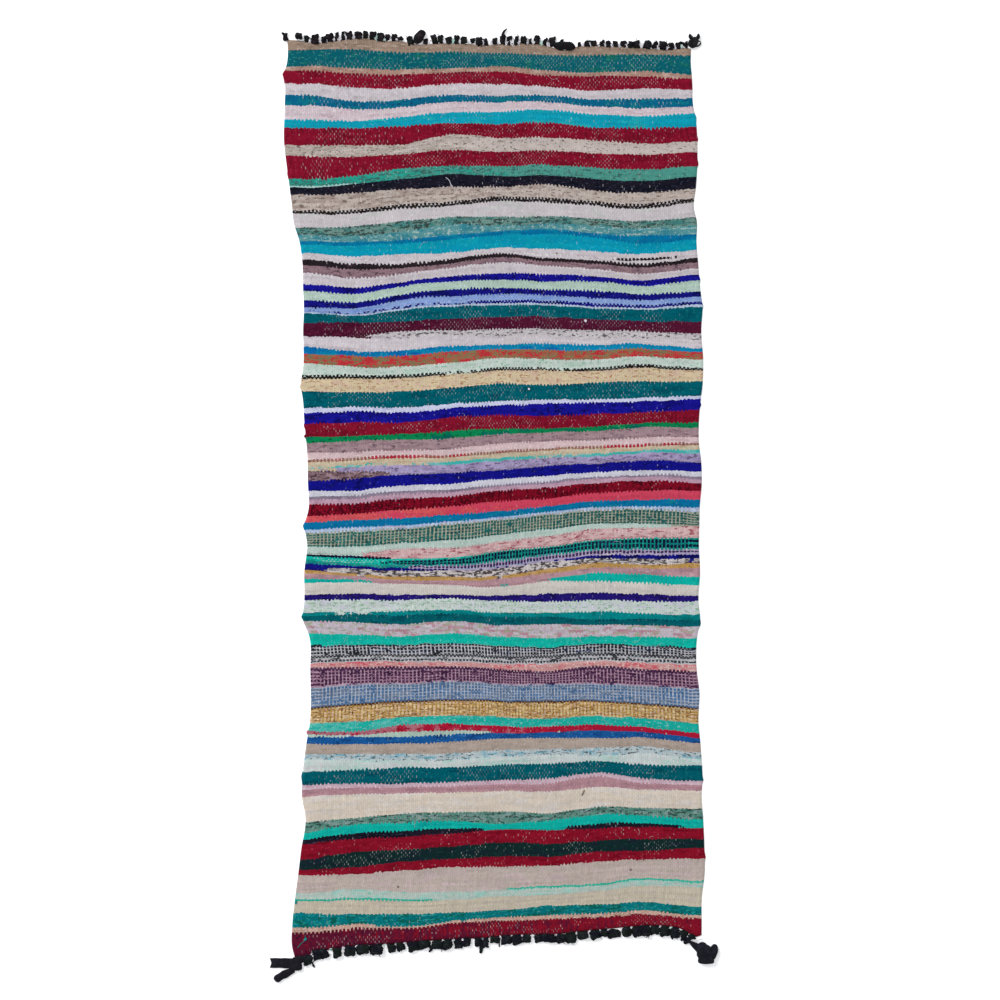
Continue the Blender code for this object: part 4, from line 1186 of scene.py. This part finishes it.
def knot_points(name, knots, outward, height, spread, seed):
    """A point at each knot's root. Outward is 1 where the knots point to the head and -1 to the foot."""
    draw = np.random.default_rng(seed)
    low, high, top_edge, foot_edge = np.array(knots, float).T
    width = (high - low) * SQUARE
    reach = (foot_edge - top_edge) * SQUARE
    across, along = from_chart((low + high) / 2, foot_edge if outward > 0 else top_edge)
    tall = height * draw.uniform(0.85, 1.12, len(knots)) * np.clip(width / USUAL_KNOT, 0.75, 1.15)
    turn = (0 if outward > 0 else math.pi) + draw.normal(0, 0.09, len(knots))
    size = np.stack([width * spread, reach, tall], -1) * MM
    return scattered_points(name, np.stack([across, along, 0 * along], -1), size=size, turn=turn)


head_row = knot_points("head_knots", HEAD_KNOTS, 1, HEAD_KNOT_HEIGHT, HEAD_SPREAD, 41)
foot_row = knot_points("foot_knots", FOOT_KNOTS, -1, FOOT_KNOT_HEIGHT, FOOT_SPREAD, 42)
print(len(HEAD_KNOTS), "knots at the head,", len(FOOT_KNOTS), "at the foot")


# %% Black jersey
def jersey(name, dark, worn, lint, other=None):
    """Washed black jersey: uneven dye, in places another black, faint ribs and a little lint."""
    made, shader, tree = new_finish(name, 0.92, 0.2)
    at = Wire.make(tree, "ShaderNodeTexCoord", {}, {}, "Object")
    dye = noise(at, 90.0, 3.0, flat=False).rising(0.48, 0.70)
    rib = noise(at, 900.0, 2.0, flat=False)
    fluff = noise(at, 520.0, 3.0, flat=False).rising(0.66, 0.74)
    elsewhere = noise(at, 34.0, 2.0, flat=False).rising(0.47, 0.55)
    colour = mixed(elsewhere, linear(dark), linear(other or dark))
    colour = mixed(dye, colour, linear(worn))
    mixed(fluff * 0.5, colour, linear(lint)).into(shader["Base Color"])
    folds = noise(at, 210.0, 3.0, flat=False)
    bumps_of(folds + rib * 0.35, 0.7, 0.0012).into(shader["Normal"])
    return made


head_jersey = jersey("black_rag_knots_finish", "100b10", "2c2329", "6a6266", "0f1612")
foot_jersey = jersey("navy_black_rag_knots_finish", "0d0d1a", "23282c", "606a6a", "101a15")
rosette_jersey = jersey("black_rag_rosette_finish", "121414", "262829", "565458")
tie_jersey = jersey("charcoal_rag_tie_finish", "15131b", "1f1e27", "444a52")
chunk_jersey = jersey("charcoal_rag_knot_finish", "15141c", "232330", "44444e")

# %% Curves and copies in a tree
def bow(tree, start, middle, end, steps):
    """A curve from start to end, bent towards a point in the middle."""
    sockets = {"Resolution": steps, "Start": start, "Middle": middle, "End": end}
    return Wire.make(tree, "GeometryNodeCurveQuadraticBezier", {}, sockets)


def tapering(tree, thickness, loss):
    """A thickness that shrinks along a curve, and has lost this share of itself at the end."""
    return thickness * (1.0 - loss * Wire.make(tree, "GeometryNodeSplineParameter", {}, {}, "Factor"))


def tube(curve, sides, radius=1.0, scale=1.0):
    """A closed tube along a curve."""
    circle = {"Resolution": sides, "Radius": radius}
    ring = Wire.make(curve.tree, "GeometryNodeCurvePrimitiveCircle", {}, circle)
    sockets = {"Curve": curve, "Profile Curve": ring, "Scale": scale, "Fill Caps": True}
    return Wire.make(curve.tree, "GeometryNodeCurveToMesh", {}, sockets)


def copies_on(points, shape, rotation, scale):
    """A copy of a shape on each point."""
    sockets = {"Points": points, "Instance": shape, "Rotation": rotation, "Scale": scale}
    return Wire.make(points.tree, "GeometryNodeInstanceOnPoints", {}, sockets)


def vector_math(tree, operation, sockets):
    """A Vector Math node."""
    return Wire.make(tree, "ShaderNodeVectorMath", {"operation": operation}, sockets)


def above_floor(shape, floor):
    """A shape of which all that hangs lower than the floor is lifted onto it."""
    x, y, z = Wire.make(shape.tree, "GeometryNodeInputPosition", {}, {}).parts()
    lying = point(x, y, z.math("MAXIMUM", floor))
    return Wire.make(shape.tree, "GeometryNodeSetPosition", {}, {"Geometry": shape, "Position": lying})


# %% Snippets
def snippet(tree):
    """One bent, tapering snippet that starts a little below the ground, one unit long."""
    bent = bow(tree, (0.0, 0.0, -0.15), (0.15, 0.0, 0.7), (0.75, 0.0, 0.75), 4)
    return tube(bent, 4, scale=tapering(tree, 0.15, 0.6))


def strewn(ground, shape, how_many, length, seed):
    """Copies of a shape on the faces of the ground that don't look down."""
    tree = ground.tree
    upward = Wire.make(tree, "GeometryNodeInputNormal", {}, {}).parts()[2].above(-0.1)
    spots = Wire.make(tree, "GeometryNodeDistributePointsOnFaces", {}, {
        "Mesh": ground, "Selection": upward, "Density": how_many, "Seed": seed,
    })
    facing = Wire(spots.socket.node.outputs["Rotation"])
    size = length * chance(tree, 0.5, 1.4, 61)
    copies = copies_on(spots, shape, facing, point(size, size, size))
    tilt = point(chance(tree, -0.6, 0.6, 62), chance(tree, -0.6, 0.6, 63), chance(tree, -3.1, 3.1, 64))
    return Wire.make(tree, "GeometryNodeRotateInstances", {}, {"Instances": copies, "Rotation": tilt})


# %% The coil of a knot
COIL_TURNS = 3.4
COIL_SIDES = 8
COIL_POINTS = 11           # along one turn
COIL_RADIUS = 0.30         # in a knot one wide and one long
STRIP_RADIUS = 0.20
ROOT_LAP = 0.20            # how far the coil reaches in over the cloth

tree, given = new_tree("wrapped_knots", (
    ("Push", "Float"), ("Floor", "Float"), ("Seed", "Int"), ("Finish", "Material"),
    ("Snippets", "Float"), ("Snippet Length", "Float"),
))
coil = Wire.make(tree, "GeometryNodeCurveSpiral", {}, {
    "Resolution": COIL_POINTS, "Rotations": COIL_TURNS, "Start Radius": COIL_RADIUS * 0.82,
    "End Radius": COIL_RADIUS, "Height": 1 + ROOT_LAP - 2 * STRIP_RADIUS,
})
knot = Wire.make(tree, "GeometryNodeTransform", {}, {
    "Geometry": tube(coil, COIL_SIDES, STRIP_RADIUS),
    "Translation": (0.0, 1 - STRIP_RADIUS, 0.5), "Rotation": (math.pi / 2, 0.0, 0.0),
})
turn = point(chance(tree, -0.12, 0.12, 5), chance(tree, -0.4, 0.4, given["Seed"]), read(tree, "turn"))
knots = realized(copies_on(given["Geometry"], knot, turn, read(tree, "size", "FLOAT_VECTOR")))
where = Wire.make(tree, "GeometryNodeInputPosition", {}, {})
lumps = noise(where, 75.0, 2.0, flat=False, output="Color")
centred = vector_math(tree, "SUBTRACT", {0: lumps, 1: (0.5, 0.5, 0.5)})
pushed = vector_math(tree, "SCALE", {0: centred, "Scale": given["Push"]})
moved = Wire.make(tree, "GeometryNodeSetPosition", {}, {"Geometry": knots, "Offset": pushed})
snippets = strewn(moved, snippet(tree), given["Snippets"], given["Snippet Length"], given["Seed"])
frayed = Wire.make(tree, "GeometryNodeJoinGeometry", {}, {0: [snippets, moved]})
end_tree(above_floor(realized(frayed), given["Floor"]), given["Finish"])
for row, finish, seed in ((head_row, head_jersey, 7), (foot_row, foot_jersey, 8)):
    sizes = {"Push": 14 * MM, "Floor": 0.3 * MM, "Snippets": 6000.0, "Snippet Length": 5.5 * MM}
    run_tree(row, tree, {**sizes, "Seed": seed, "Finish": finish})
    print(row.name, len(row.data.polygons), "faces")

# %% [markdown]
# ## Strips of rag
# The corners and a few odd places aren't rows of knots: a long roll, a lump, a rosette of loops, a tie with
# two tails, a chunky knot with an ear. All of them are strips of rag, so one function makes them. A strip
# follows a path, and each row of its list gives a place, the height of its middle, its width and its
# thickness there. Creases run along it and twist as they go. A strip may end in a notch, as cut rag does.

# %% One strip
STRIP_SIDES = 16
STRIP_STEP = 1.6           # mm between rings
STRIP_LEAST = 0.3          # mm that a strip stays above the floor
TWIST = 17.0               # mm along which a crease may move round by a quarter of its wave
CREASES = ((2, 0.4), (3, 1.0), (5, 0.7), (7, 0.35))        # how many times round, and how deep
SWELL = (0.8, 4.1)         # how high the bulges on the way are beside the creases, and their wave
ROUND_END = 3.0            # mm over which an end is rounded
NOTCH_FROM = 0.75          # the share of the way at which a notched end begins


def ring_faces(count):
    """The faces between the rings of a strip, and those at both ends, round a last point each."""
    last = (count - 1) * STRIP_SIDES
    first_end, last_end = last + STRIP_SIDES, last + STRIP_SIDES + 1
    faces = []
    for side in range(STRIP_SIDES):
        after = (side + 1) % STRIP_SIDES
        for base in range(0, last, STRIP_SIDES):
            beyond = base + STRIP_SIDES
            faces.append((base + side, beyond + side, beyond + after, base + after))
        faces.append((first_end, side, after))
        faces.append((last_end, last + after, last + side))
    return faces


def strip(path, creases=0.10, seed=0, notch=0.0):
    """Vertices and faces of a strip of rag, closed at both ends; lengths in millimetres."""
    draw = np.random.default_rng(seed)
    rows = np.array(path, float)
    run = np.concatenate(([0], np.cumsum(np.hypot(*np.diff(rows[:, :2], axis=0).T))))
    count = max(6, int(run[-1] / STRIP_STEP))
    at = np.linspace(0, run[-1], count)
    across, along, height, wide, thick = (through(at, run, column) for column in rows.T)
    heading = np.arctan2(np.gradient(along), np.gradient(across))[:, None]
    to_end = np.clip(np.minimum(at, run[-1] - at) / ROUND_END, 0, 1)
    round_end = np.sqrt(np.clip(1 - (1 - to_end) ** 2, 0.10, 1))

    angle = np.linspace(0, 2 * np.pi, STRIP_SIDES, endpoint=False)[None, :]
    twist = at[:, None] / TWIST
    crease = sum(
        size * np.cos(k * angle + draw.uniform(0, ONCE_ROUND) + twist * draw.uniform(-1.5, 1.5))
        for k, size in CREASES
    )
    swell = SWELL[0] * np.sin(at / SWELL[1] + draw.uniform(0, ONCE_ROUND))[:, None]
    bulge = 1 + creases * (crease + swell)
    half_wide = (0.5 * wide * (round_end if notch == 0 else 1))[:, None] * bulge
    half_thick = (0.5 * thick * round_end)[:, None] * bulge

    flat = np.sign(np.cos(angle)) * np.abs(np.cos(angle)) ** 0.8
    pull = np.clip((at / run[-1] - NOTCH_FROM) / (1 - NOTCH_FROM), 0, 1)[:, None]
    pull = notch * pull ** 2 * (flat**2 - 0.5)
    x = across[:, None] - np.sin(heading) * flat * half_wide + np.cos(heading) * pull
    y = along[:, None] + np.cos(heading) * flat * half_wide + np.sin(heading) * pull
    z = np.maximum(height[:, None] + np.sin(angle) * half_thick, STRIP_LEAST)
    points = np.stack([x, y, z], -1).reshape(-1, 3)
    ends = np.stack([points[:STRIP_SIDES].mean(0), points[-STRIP_SIDES:].mean(0)])
    return np.vstack([points, ends]), ring_faces(count)


def rag_piece(name, strips, finish):
    """One object from several strips."""
    points, faces, start = [], [], 0
    for some, more in strips:
        points.append(some)
        faces += [tuple(start + k for k in face) for face in more]
        start += len(some)
    mesh = bpy.data.meshes.new(name)
    mesh.from_pydata(placed(np.vstack(points)).tolist(), [], faces)
    mesh.shade_smooth()
    mesh.materials.append(finish)
    print(name, len(mesh.vertices), "vertices")
    return new_object(name, mesh)


# %% [markdown]
# ## The head's odd pieces
# A long roll lies over the cloth's edge right of the middle, one lump leans out on the left, and a few rag
# ends stick up. The rosette in the right corner is a lump with two ears and a thin loop.

# %% Head: roll, lump and rag ends, then the rosette
# rows of a strip: across, along, height of its middle, width, thickness
head_extras = rag_piece("head_roll_and_lump", [
    strip([
        (133, 1138, 7, 11, 12), (146, 1135, 8, 20, 15), (163, 1135, 9, 21, 17), (178, 1133, 8, 19, 15),
        (188, 1131, 7, 8, 10),
    ], 0.07, 1),
    strip([(150, 1143, 8, 6, 8), (156, 1148, 8, 7, 8), (159, 1151, 7, 3, 5)], 0.08, 2),
    strip([
        (-213, 1141, 7, 13, 12), (-205, 1150, 8, 22, 15), (-196, 1163, 8, 21, 15), (-189, 1172, 7, 12, 10),
    ], 0.09, 3),
    strip([(6, 1158, 6, 8, 8), (10, 1170, 6, 5, 6), (18, 1178, 5, 3, 4)], 0.08, 4),
    strip([(-539, 1163, 6, 8, 8), (-546, 1168, 5, 4, 5)], 0.08, 5),
    strip([(448, 1144, 7, 7, 7), (459, 1139, 7, 8, 8), (468, 1129, 6, 6, 6)], 0.06, 6),
], head_jersey)
rosette = rag_piece("rosette", [
    strip([
        (472, 1133, 8, 13, 12), (480, 1140, 9, 22, 17), (486, 1149, 9, 20, 17), (486, 1157, 8, 10, 12),
    ], 0.10, 11),
    strip([(480, 1151, 9, 10, 11), (475, 1160, 8, 8, 9), (474, 1165, 7, 3, 5)], 0.08, 12),
    strip([(488, 1148, 9, 10, 11), (495, 1157, 9, 9, 10), (495, 1165, 8, 5, 6)], 0.08, 13),
    strip([
        (489, 1147, 7, 5, 5), (497, 1146, 7, 4, 4), (501, 1141, 6, 4, 4), (496, 1135, 6, 4, 4),
        (488, 1133, 6, 5, 5),
    ], 0.05, 14),
], rosette_jersey)

# %% [markdown]
# ## The foot's odd pieces
# The left corner has a tie of two tails: a flat ribbon with a notched end, and a rolled one below it. The
# right corner ends in a chunky knot on a short neck, with an ear to the right. Three knots between them
# have a loose end.

# %% Foot: rag ends, the tie and the chunky knot
foot_extras = rag_piece("foot_rag_ends", [
    strip([(-175, -1113, 8, 10, 8), (-171, -1121, 7, 8, 6), (-178, -1130, 5, 5, 4)], 0.08, 21),
    strip([(-47, -1108, 8, 11, 8), (-47, -1122, 7, 10, 7), (-49, -1133, 5, 8, 5)], 0.08, 22),
    strip([(-2, -1104, 7, 4, 4), (-2, -1118, 5, 3, 3)], 0.05, 23),
    strip([
        (-459, -1147, 6, 4, 4), (-468, -1158, 4, 3, 3), (-466, -1163, 4, 6, 5), (-463, -1169, 3, 3, 3),
    ], 0.06, 24),
], foot_jersey)
tie = rag_piece("corner_tie", [
    strip([
        (-527, -1158, 8, 24, 13), (-515, -1159, 9, 30, 16), (-504, -1160, 9, 31, 17),
        (-495, -1158, 8, 24, 13),
    ], 0.05, 31),
    strip([
        (-519, -1147, 6, 8, 8), (-508, -1148, 9, 17, 11), (-494, -1146, 10, 18, 11),
        (-478, -1143, 9, 16, 10), (-470, -1138, 8, 8, 7),
    ], 0.10, 34),
    strip([
        (-500, -1154, 6, 22, 8), (-522, -1157, 5, 25, 5), (-546, -1157, 3.2, 25, 4.5),
        (-571, -1157, 2.9, 24.5, 4.0),
    ], 0.03, 32, notch=9.0),
    strip([
        (-514, -1172, 5, 14, 8), (-530, -1181, 5, 19, 9), (-545, -1189, 5, 19, 9),
        (-556, -1197, 5, 19, 8), (-561, -1203, 4, 12, 6),
    ], 0.09, 33),
], tie_jersey)
chunk = rag_piece("chunky_knot", [
    strip([
        (503, -1104, 10, 12, 14), (505, -1114, 12, 28, 20), (511, -1128, 12.5, 39, 24),
        (515, -1143, 12.5, 38, 24), (515, -1155, 12, 36, 22), (515, -1159, 10, 31, 14),
    ], 0.06, 41),
    strip([
        (523, -1147, 10, 16, 18), (530, -1135, 11, 25, 20), (535, -1121, 10, 21, 18),
        (538, -1109, 9, 11, 12),
    ], 0.08, 42),
    strip([
        (466, -1098, 6, 6, 7), (476, -1105, 7, 9, 9), (487, -1113, 8, 15, 11), (500, -1121, 9, 24, 14),
    ], 0.07, 43),
], chunk_jersey)

# %% [markdown]
# ## Warp ends
# Between the knots the cut ends of the warps stick out, as tufts of pale cotton. A tuft is a few strands
# that start together and part. Geometry Nodes repeat the points of the gaps, put one bent, tapering strand
# on each copy, and turn and size every strand by chance.

# %% Tufts in the gaps between knots
TUFT_STRANDS = 5
TUFT_WIDTH = 4.0           # mm by which a strand bows out
TUFT_RISE = 9.0
TUFT_ROOT = 6.5            # height of the strands' roots, near the top of the cloth
TUFT_LAP = 1.5             # how far in over the cloth the roots lie
HEAD_TUFT_SHARE = 0.9
FOOT_TUFT_SHARE = 0.8
HEAD_TUFT_LENGTH = 0.60
FOOT_TUFT_LENGTH = 0.34
WIDEST_GAP = 8             # squares of the chart; where knots are further apart, there is no tuft
# places along the rows, in squares, where the tufts have mint ends, and how near one a tuft must be
MINT_GAPS = (294, 331, 379, 386, 454, 541, 671, 682)
MINT_NEAR = 3


def tuft_points(name, knots, outward, share, length, seed):
    """A point in each gap between neighbouring knots; length is a share of the knots' own."""
    draw = np.random.default_rng(seed)
    low, high, top_edge, foot_edge = np.array(knots, float).T
    gap = (high[:-1] + low[1:]) / 2
    level = 0 * gap
    root = foot_edge if outward > 0 else top_edge
    reach = ((foot_edge - top_edge)[:-1] + (foot_edge - top_edge)[1:]) / 2 * SQUARE
    keep = (draw.random(len(gap)) < share) & (low[1:] - high[:-1] < WIDEST_GAP)
    across, along = from_chart(gap, (root[:-1] + root[1:]) / 2)
    places = np.stack([across, along - outward * TUFT_LAP, TUFT_ROOT + level], -1)
    strand = reach * length * draw.uniform(0.6, 1.4, len(gap))
    size = np.stack([TUFT_WIDTH + level, strand, TUFT_RISE + level], -1) * MM
    turn = (0 if outward > 0 else math.pi) + draw.normal(0, 0.25, len(gap))
    mint = np.array([min(abs(g - some) for some in MINT_GAPS) < MINT_NEAR for g in gap])
    return scattered_points(name, places[keep], size=size[keep], turn=turn[keep], mint=mint[keep])


def cotton_finish():
    """Unbleached cotton, in some of the tufts dyed mint."""
    made, shader, tree = new_finish("warp_ends_finish")
    mint = Wire.make(tree, "ShaderNodeAttribute", {"attribute_name": "mint"}, {}, "Fac")
    at = Wire.make(tree, "ShaderNodeTexCoord", {}, {}, "Object")
    tint = noise(at, 260.0, 2.0, flat=False).rising(0.4, 0.6)
    pale = mixed(tint, linear("f2eef0"), linear("d9d3da"))
    green = mixed(tint, linear("a8dcc8"), linear("dfe8e4"))
    mixed(mint, pale, green).into(shader["Base Color"])
    return made


cotton = cotton_finish()
tree, given = new_tree("warp_tufts", (("Strands", "Int"), ("Parting", "Float"), ("Thickness", "Float")))
sockets = {"Geometry": given["Geometry"], "Amount": given["Strands"]}
copies = Wire.make(tree, "GeometryNodeDuplicateElements", {"domain": "POINT"}, sockets)
bent = bow(tree, (0.0, -0.1, -0.2), (0.3, 0.5, 1.1), (-0.2, 1.0, -0.2), 7)
strand = tube(bent, 6, scale=tapering(tree, given["Thickness"], 0.55))
wide, long, high = read(tree, "size", "FLOAT_VECTOR").parts()
fan = read(tree, "turn") + given["Parting"] * chance(tree, -1.0, 1.0, 11)
rotation = point(chance(tree, -0.2, 0.05, 12), chance(tree, -1.0, 1.0, 13), fan)
scale = point(wide * chance(tree, 0.7, 1.2, 14), long * chance(tree, 0.6, 1.1, 15), high)
strands = realized(copies_on(copies, strand, rotation, scale))
end_tree(above_floor(strands, 0.3 * MM), cotton)
head_tufts = tuft_points("head_warp_ends", HEAD_KNOTS, 1, HEAD_TUFT_SHARE, HEAD_TUFT_LENGTH, 51)
foot_tufts = tuft_points("foot_warp_ends", FOOT_KNOTS, -1, FOOT_TUFT_SHARE, FOOT_TUFT_LENGTH, 52)
for row in (head_tufts, foot_tufts):
    run_tree(row, tree, {"Strands": TUFT_STRANDS, "Parting": 0.45, "Thickness": 0.17})
    print(row.name, len(row.data.polygons), "faces")

# %% [markdown]
# ## Threads and lint
# A rug made of worn clothes sheds. A few loose threads and knots of thread lie on the cloth, and fine lint
# clings to it. The threads are thin strips. The lint is one bent hair, put on points strewn over the cloth.

# %% Loose threads
THREAD_HEIGHT = 7.5        # mm: on top of the weave


def thread(*places, width=2.2, bulge=0):
    """A thin strip through places given in squares of the chart; bulge thickens its middle place."""
    rows = [(*from_chart(x, y), THREAD_HEIGHT, width, width) for x, y in places]
    if bulge:
        middle = len(rows) // 2
        rows[middle] = (*rows[middle][:3], bulge, 0.6 * bulge)
    return strip(rows, 0.05, len(places))


def plain_finish(name, code):
    """One matt colour."""
    made, shader, _ = new_finish(name)
    shader["Base Color"].default_value = linear(code)
    return made


teal_threads = rag_piece("teal_threads", [
    thread((305, 931), (305.3, 935), (305.4, 939), (301.5, 943), (297.3, 947.5), width=1.3),
    thread((304, 939.8), (305.5, 939), (307, 938), width=6.5),
    thread((296.4, 899.4), (296.1, 901.6), (295.7, 903.8), width=6),
], plain_finish("teal_thread_finish", "1f8f8a"))
brown_threads = rag_piece("brown_threads", [
    thread((581.6, 795.2), (583, 792.4), (584.4, 789.6), width=2.6),
    thread((396.8, 886), (398, 886.3), (399.2, 886.2), bulge=5),
    thread((629.2, 869.5), (630.5, 869.2), (631.8, 869.4), bulge=5),
    thread((555.8, 253.8), (556.6, 253.2), (557.4, 253.4), bulge=4),
], plain_finish("brown_thread_finish", "7c6a64"))
white_threads = rag_piece("white_threads", [
    thread((527.8, 389.4), (529, 389.2), (530.2, 389.5), bulge=6),
    thread((584.6, 319.6), (585.4, 321), (586, 322.6), bulge=7),
    thread((445.6, 177.6), (449, 180.4), (451.4, 185.4), (453.4, 187.4), width=1.2),
    thread((680.4, 48.6), (683.4, 44), (687, 40.6), width=2.6),
    thread((696.6, 46), (698.4, 44), (700, 42.4), width=3.4),
    thread((689.4, 940.6), (691.4, 943.2), (693.2, 945), width=4.4),
    thread((695, 942), (699, 939.4), (703, 938.2), width=2.4),
    thread((671.6, 930), (672.4, 933), (671.8, 936.4), width=4.6),
    thread((680.4, 933), (681.2, 935.6), (680.6, 938.6), width=4.6),
    thread((686.2, 935.4), (687.2, 937.8), (686.8, 940.6), width=4.6),
    thread((299.5, 967), (300.5, 969.6), (301, 971.6), width=2.4),
], cotton)

# %% Lint
LINT_HAIRS = 100
LINT_INSET = 30.0          # mm that the lint keeps clear of the rug's edges
LINT_LIFT = 1.0            # mm that it lies above the solid's top, on the beads

draw = np.random.default_rng(61)
lint_share = draw.uniform(0.05, 0.95, LINT_HAIRS)
lint_along = draw.uniform(-1080, 1110, LINT_HAIRS)
lint_left, lint_right = sides(lint_along)
lint_across = lint_left + LINT_INSET + lint_share * (lint_right - lint_left - 2 * LINT_INSET)
lint_along = np.clip(lint_along, np.interp(lint_across, ruler, foot_line) + LINT_INSET, None)
lint_height = relief(lint_across, lint_along) + LINT_LIFT
lint = scattered_points(
    "lint", np.stack([lint_across, lint_along, lint_height], -1),
    size=draw.uniform(6, 26, LINT_HAIRS) * MM, turn=draw.uniform(0, ONCE_ROUND, LINT_HAIRS),
)
tree, given = new_tree("lint_hairs", (("Thickness", "Float"), ("Finish", "Material")))
hair = bow(tree, (-0.5, 0.0, 0.0), (0.1, 0.5, 0.03), (0.5, 0.0, 0.0), 6)
turn = point(0.0, 0.0, read(tree, "turn"))
hairs = realized(copies_on(given["Geometry"], hair, turn, read(tree, "size")))
end_tree(tube(hairs, 4, scale=given["Thickness"]), given["Finish"])
run_tree(lint, tree, {"Thickness": 0.24 * MM, "Finish": plain_finish("lint_finish", "cfc8cc")})
print("lint:", len(lint.data.polygons), "faces")

# %% [markdown]
# ## Riding the frame
# Every piece made here rides the rug's root and stands for the solid it was modelled on, which is hidden.

# %% Pieces and slots
PIECES = (
    (cloth, "rug_field", "striped_rag_weave"),
    (head_row, "head_edging", "black_rag_knots"),
    (head_extras, "head_edging", "black_rag_knots"),
    (head_tufts, "head_edging", None),
    (foot_row, "foot_edging", "navy_black_rag_knots"),
    (foot_extras, "foot_edging", "navy_black_rag_knots"),
    (foot_tufts, "foot_edging", None),
    (rosette, "head_right_knot", "black_rag_rosette"),
    (tie, "foot_left_tie", "charcoal_rag_tie"),
    (chunk, "foot_right_knot", "charcoal_rag_knot"),
    (teal_threads, "rug_field", None),
    (brown_threads, "rug_field", None),
    (white_threads, "rug_field", None),
    (lint, "rug_field", None),
)
for piece, node, slot in PIECES:
    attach(piece, "root")
    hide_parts(node)
print(len(PIECES), "pieces")

# %% [markdown]
# ## Floor, light and camera
# The rug lies on a plain pale floor. One large soft light from the upper left models the weave, and an even,
# nearly white sky fills the rest, so that the dyes keep their colours. Both have daylight's faint blue. The
# camera looks straight down, from high enough that nothing leans.

# %% Floor and light
FLOOR_REACH = 9.0          # metres from the middle to each side
FLOOR_DROP = 0.0004        # the floor lies this far below the rug, so that the two never flicker
DAYLIGHT = (0.97, 0.995, 1.04)

floor_corners = np.array([(-1, -1, 0), (1, -1, 0), (1, 1, 0), (-1, 1, 0)]) * FLOOR_REACH - (0, 0, FLOOR_DROP)
floor_mesh = bpy.data.meshes.new("floor")
floor_mesh.from_pydata(floor_corners.tolist(), [], [(0, 1, 2, 3)])
floor = new_object("floor", floor_mesh)
pale, shader, _ = new_finish("pale_floor", gloss=0.5)
shader["Base Color"].default_value = linear("ffffff")
shader["Emission Color"].default_value = linear("ffffff")
shader["Emission Strength"].default_value = 0.40
floor_mesh.materials.append(pale)

world = bpy.data.worlds.new("studio")
world.use_nodes = True
sky = world.node_tree.nodes["Background"].inputs
sky["Color"].default_value = (*DAYLIGHT, 1)
sky["Strength"].default_value = 0.49
bpy.context.scene.world = world

key = bpy.data.lights.new("soft_key", "AREA")
key.shape = "SQUARE"
key.size = 6.0
key.energy = 1400
key.color = DAYLIGHT
key_light = new_object("soft_key", key)
key_light.location = (-6.4, 7.2, 11.2)
key_light.rotation_euler = (math.radians(-32.7), math.radians(-27.0), 0)
print("floor:", 2 * FLOOR_REACH, "m wide")

# %% Camera
FRAME_WIDTH = 1000 * SQUARE * MM
CAMERA_HEIGHT = 8.0

camera = bpy.data.cameras.new("camera")
camera.lens = camera.sensor_width * CAMERA_HEIGHT / FRAME_WIDTH
camera_object = new_object("camera", camera)
camera_object.location = (MIDDLE[0] * MM, MIDDLE[1] * MM, CAMERA_HEIGHT)
bpy.context.scene.camera = camera_object
bpy.context.scene.view_settings.view_transform = "Standard"
print("camera lens:", round(camera.lens, 1), "mm")
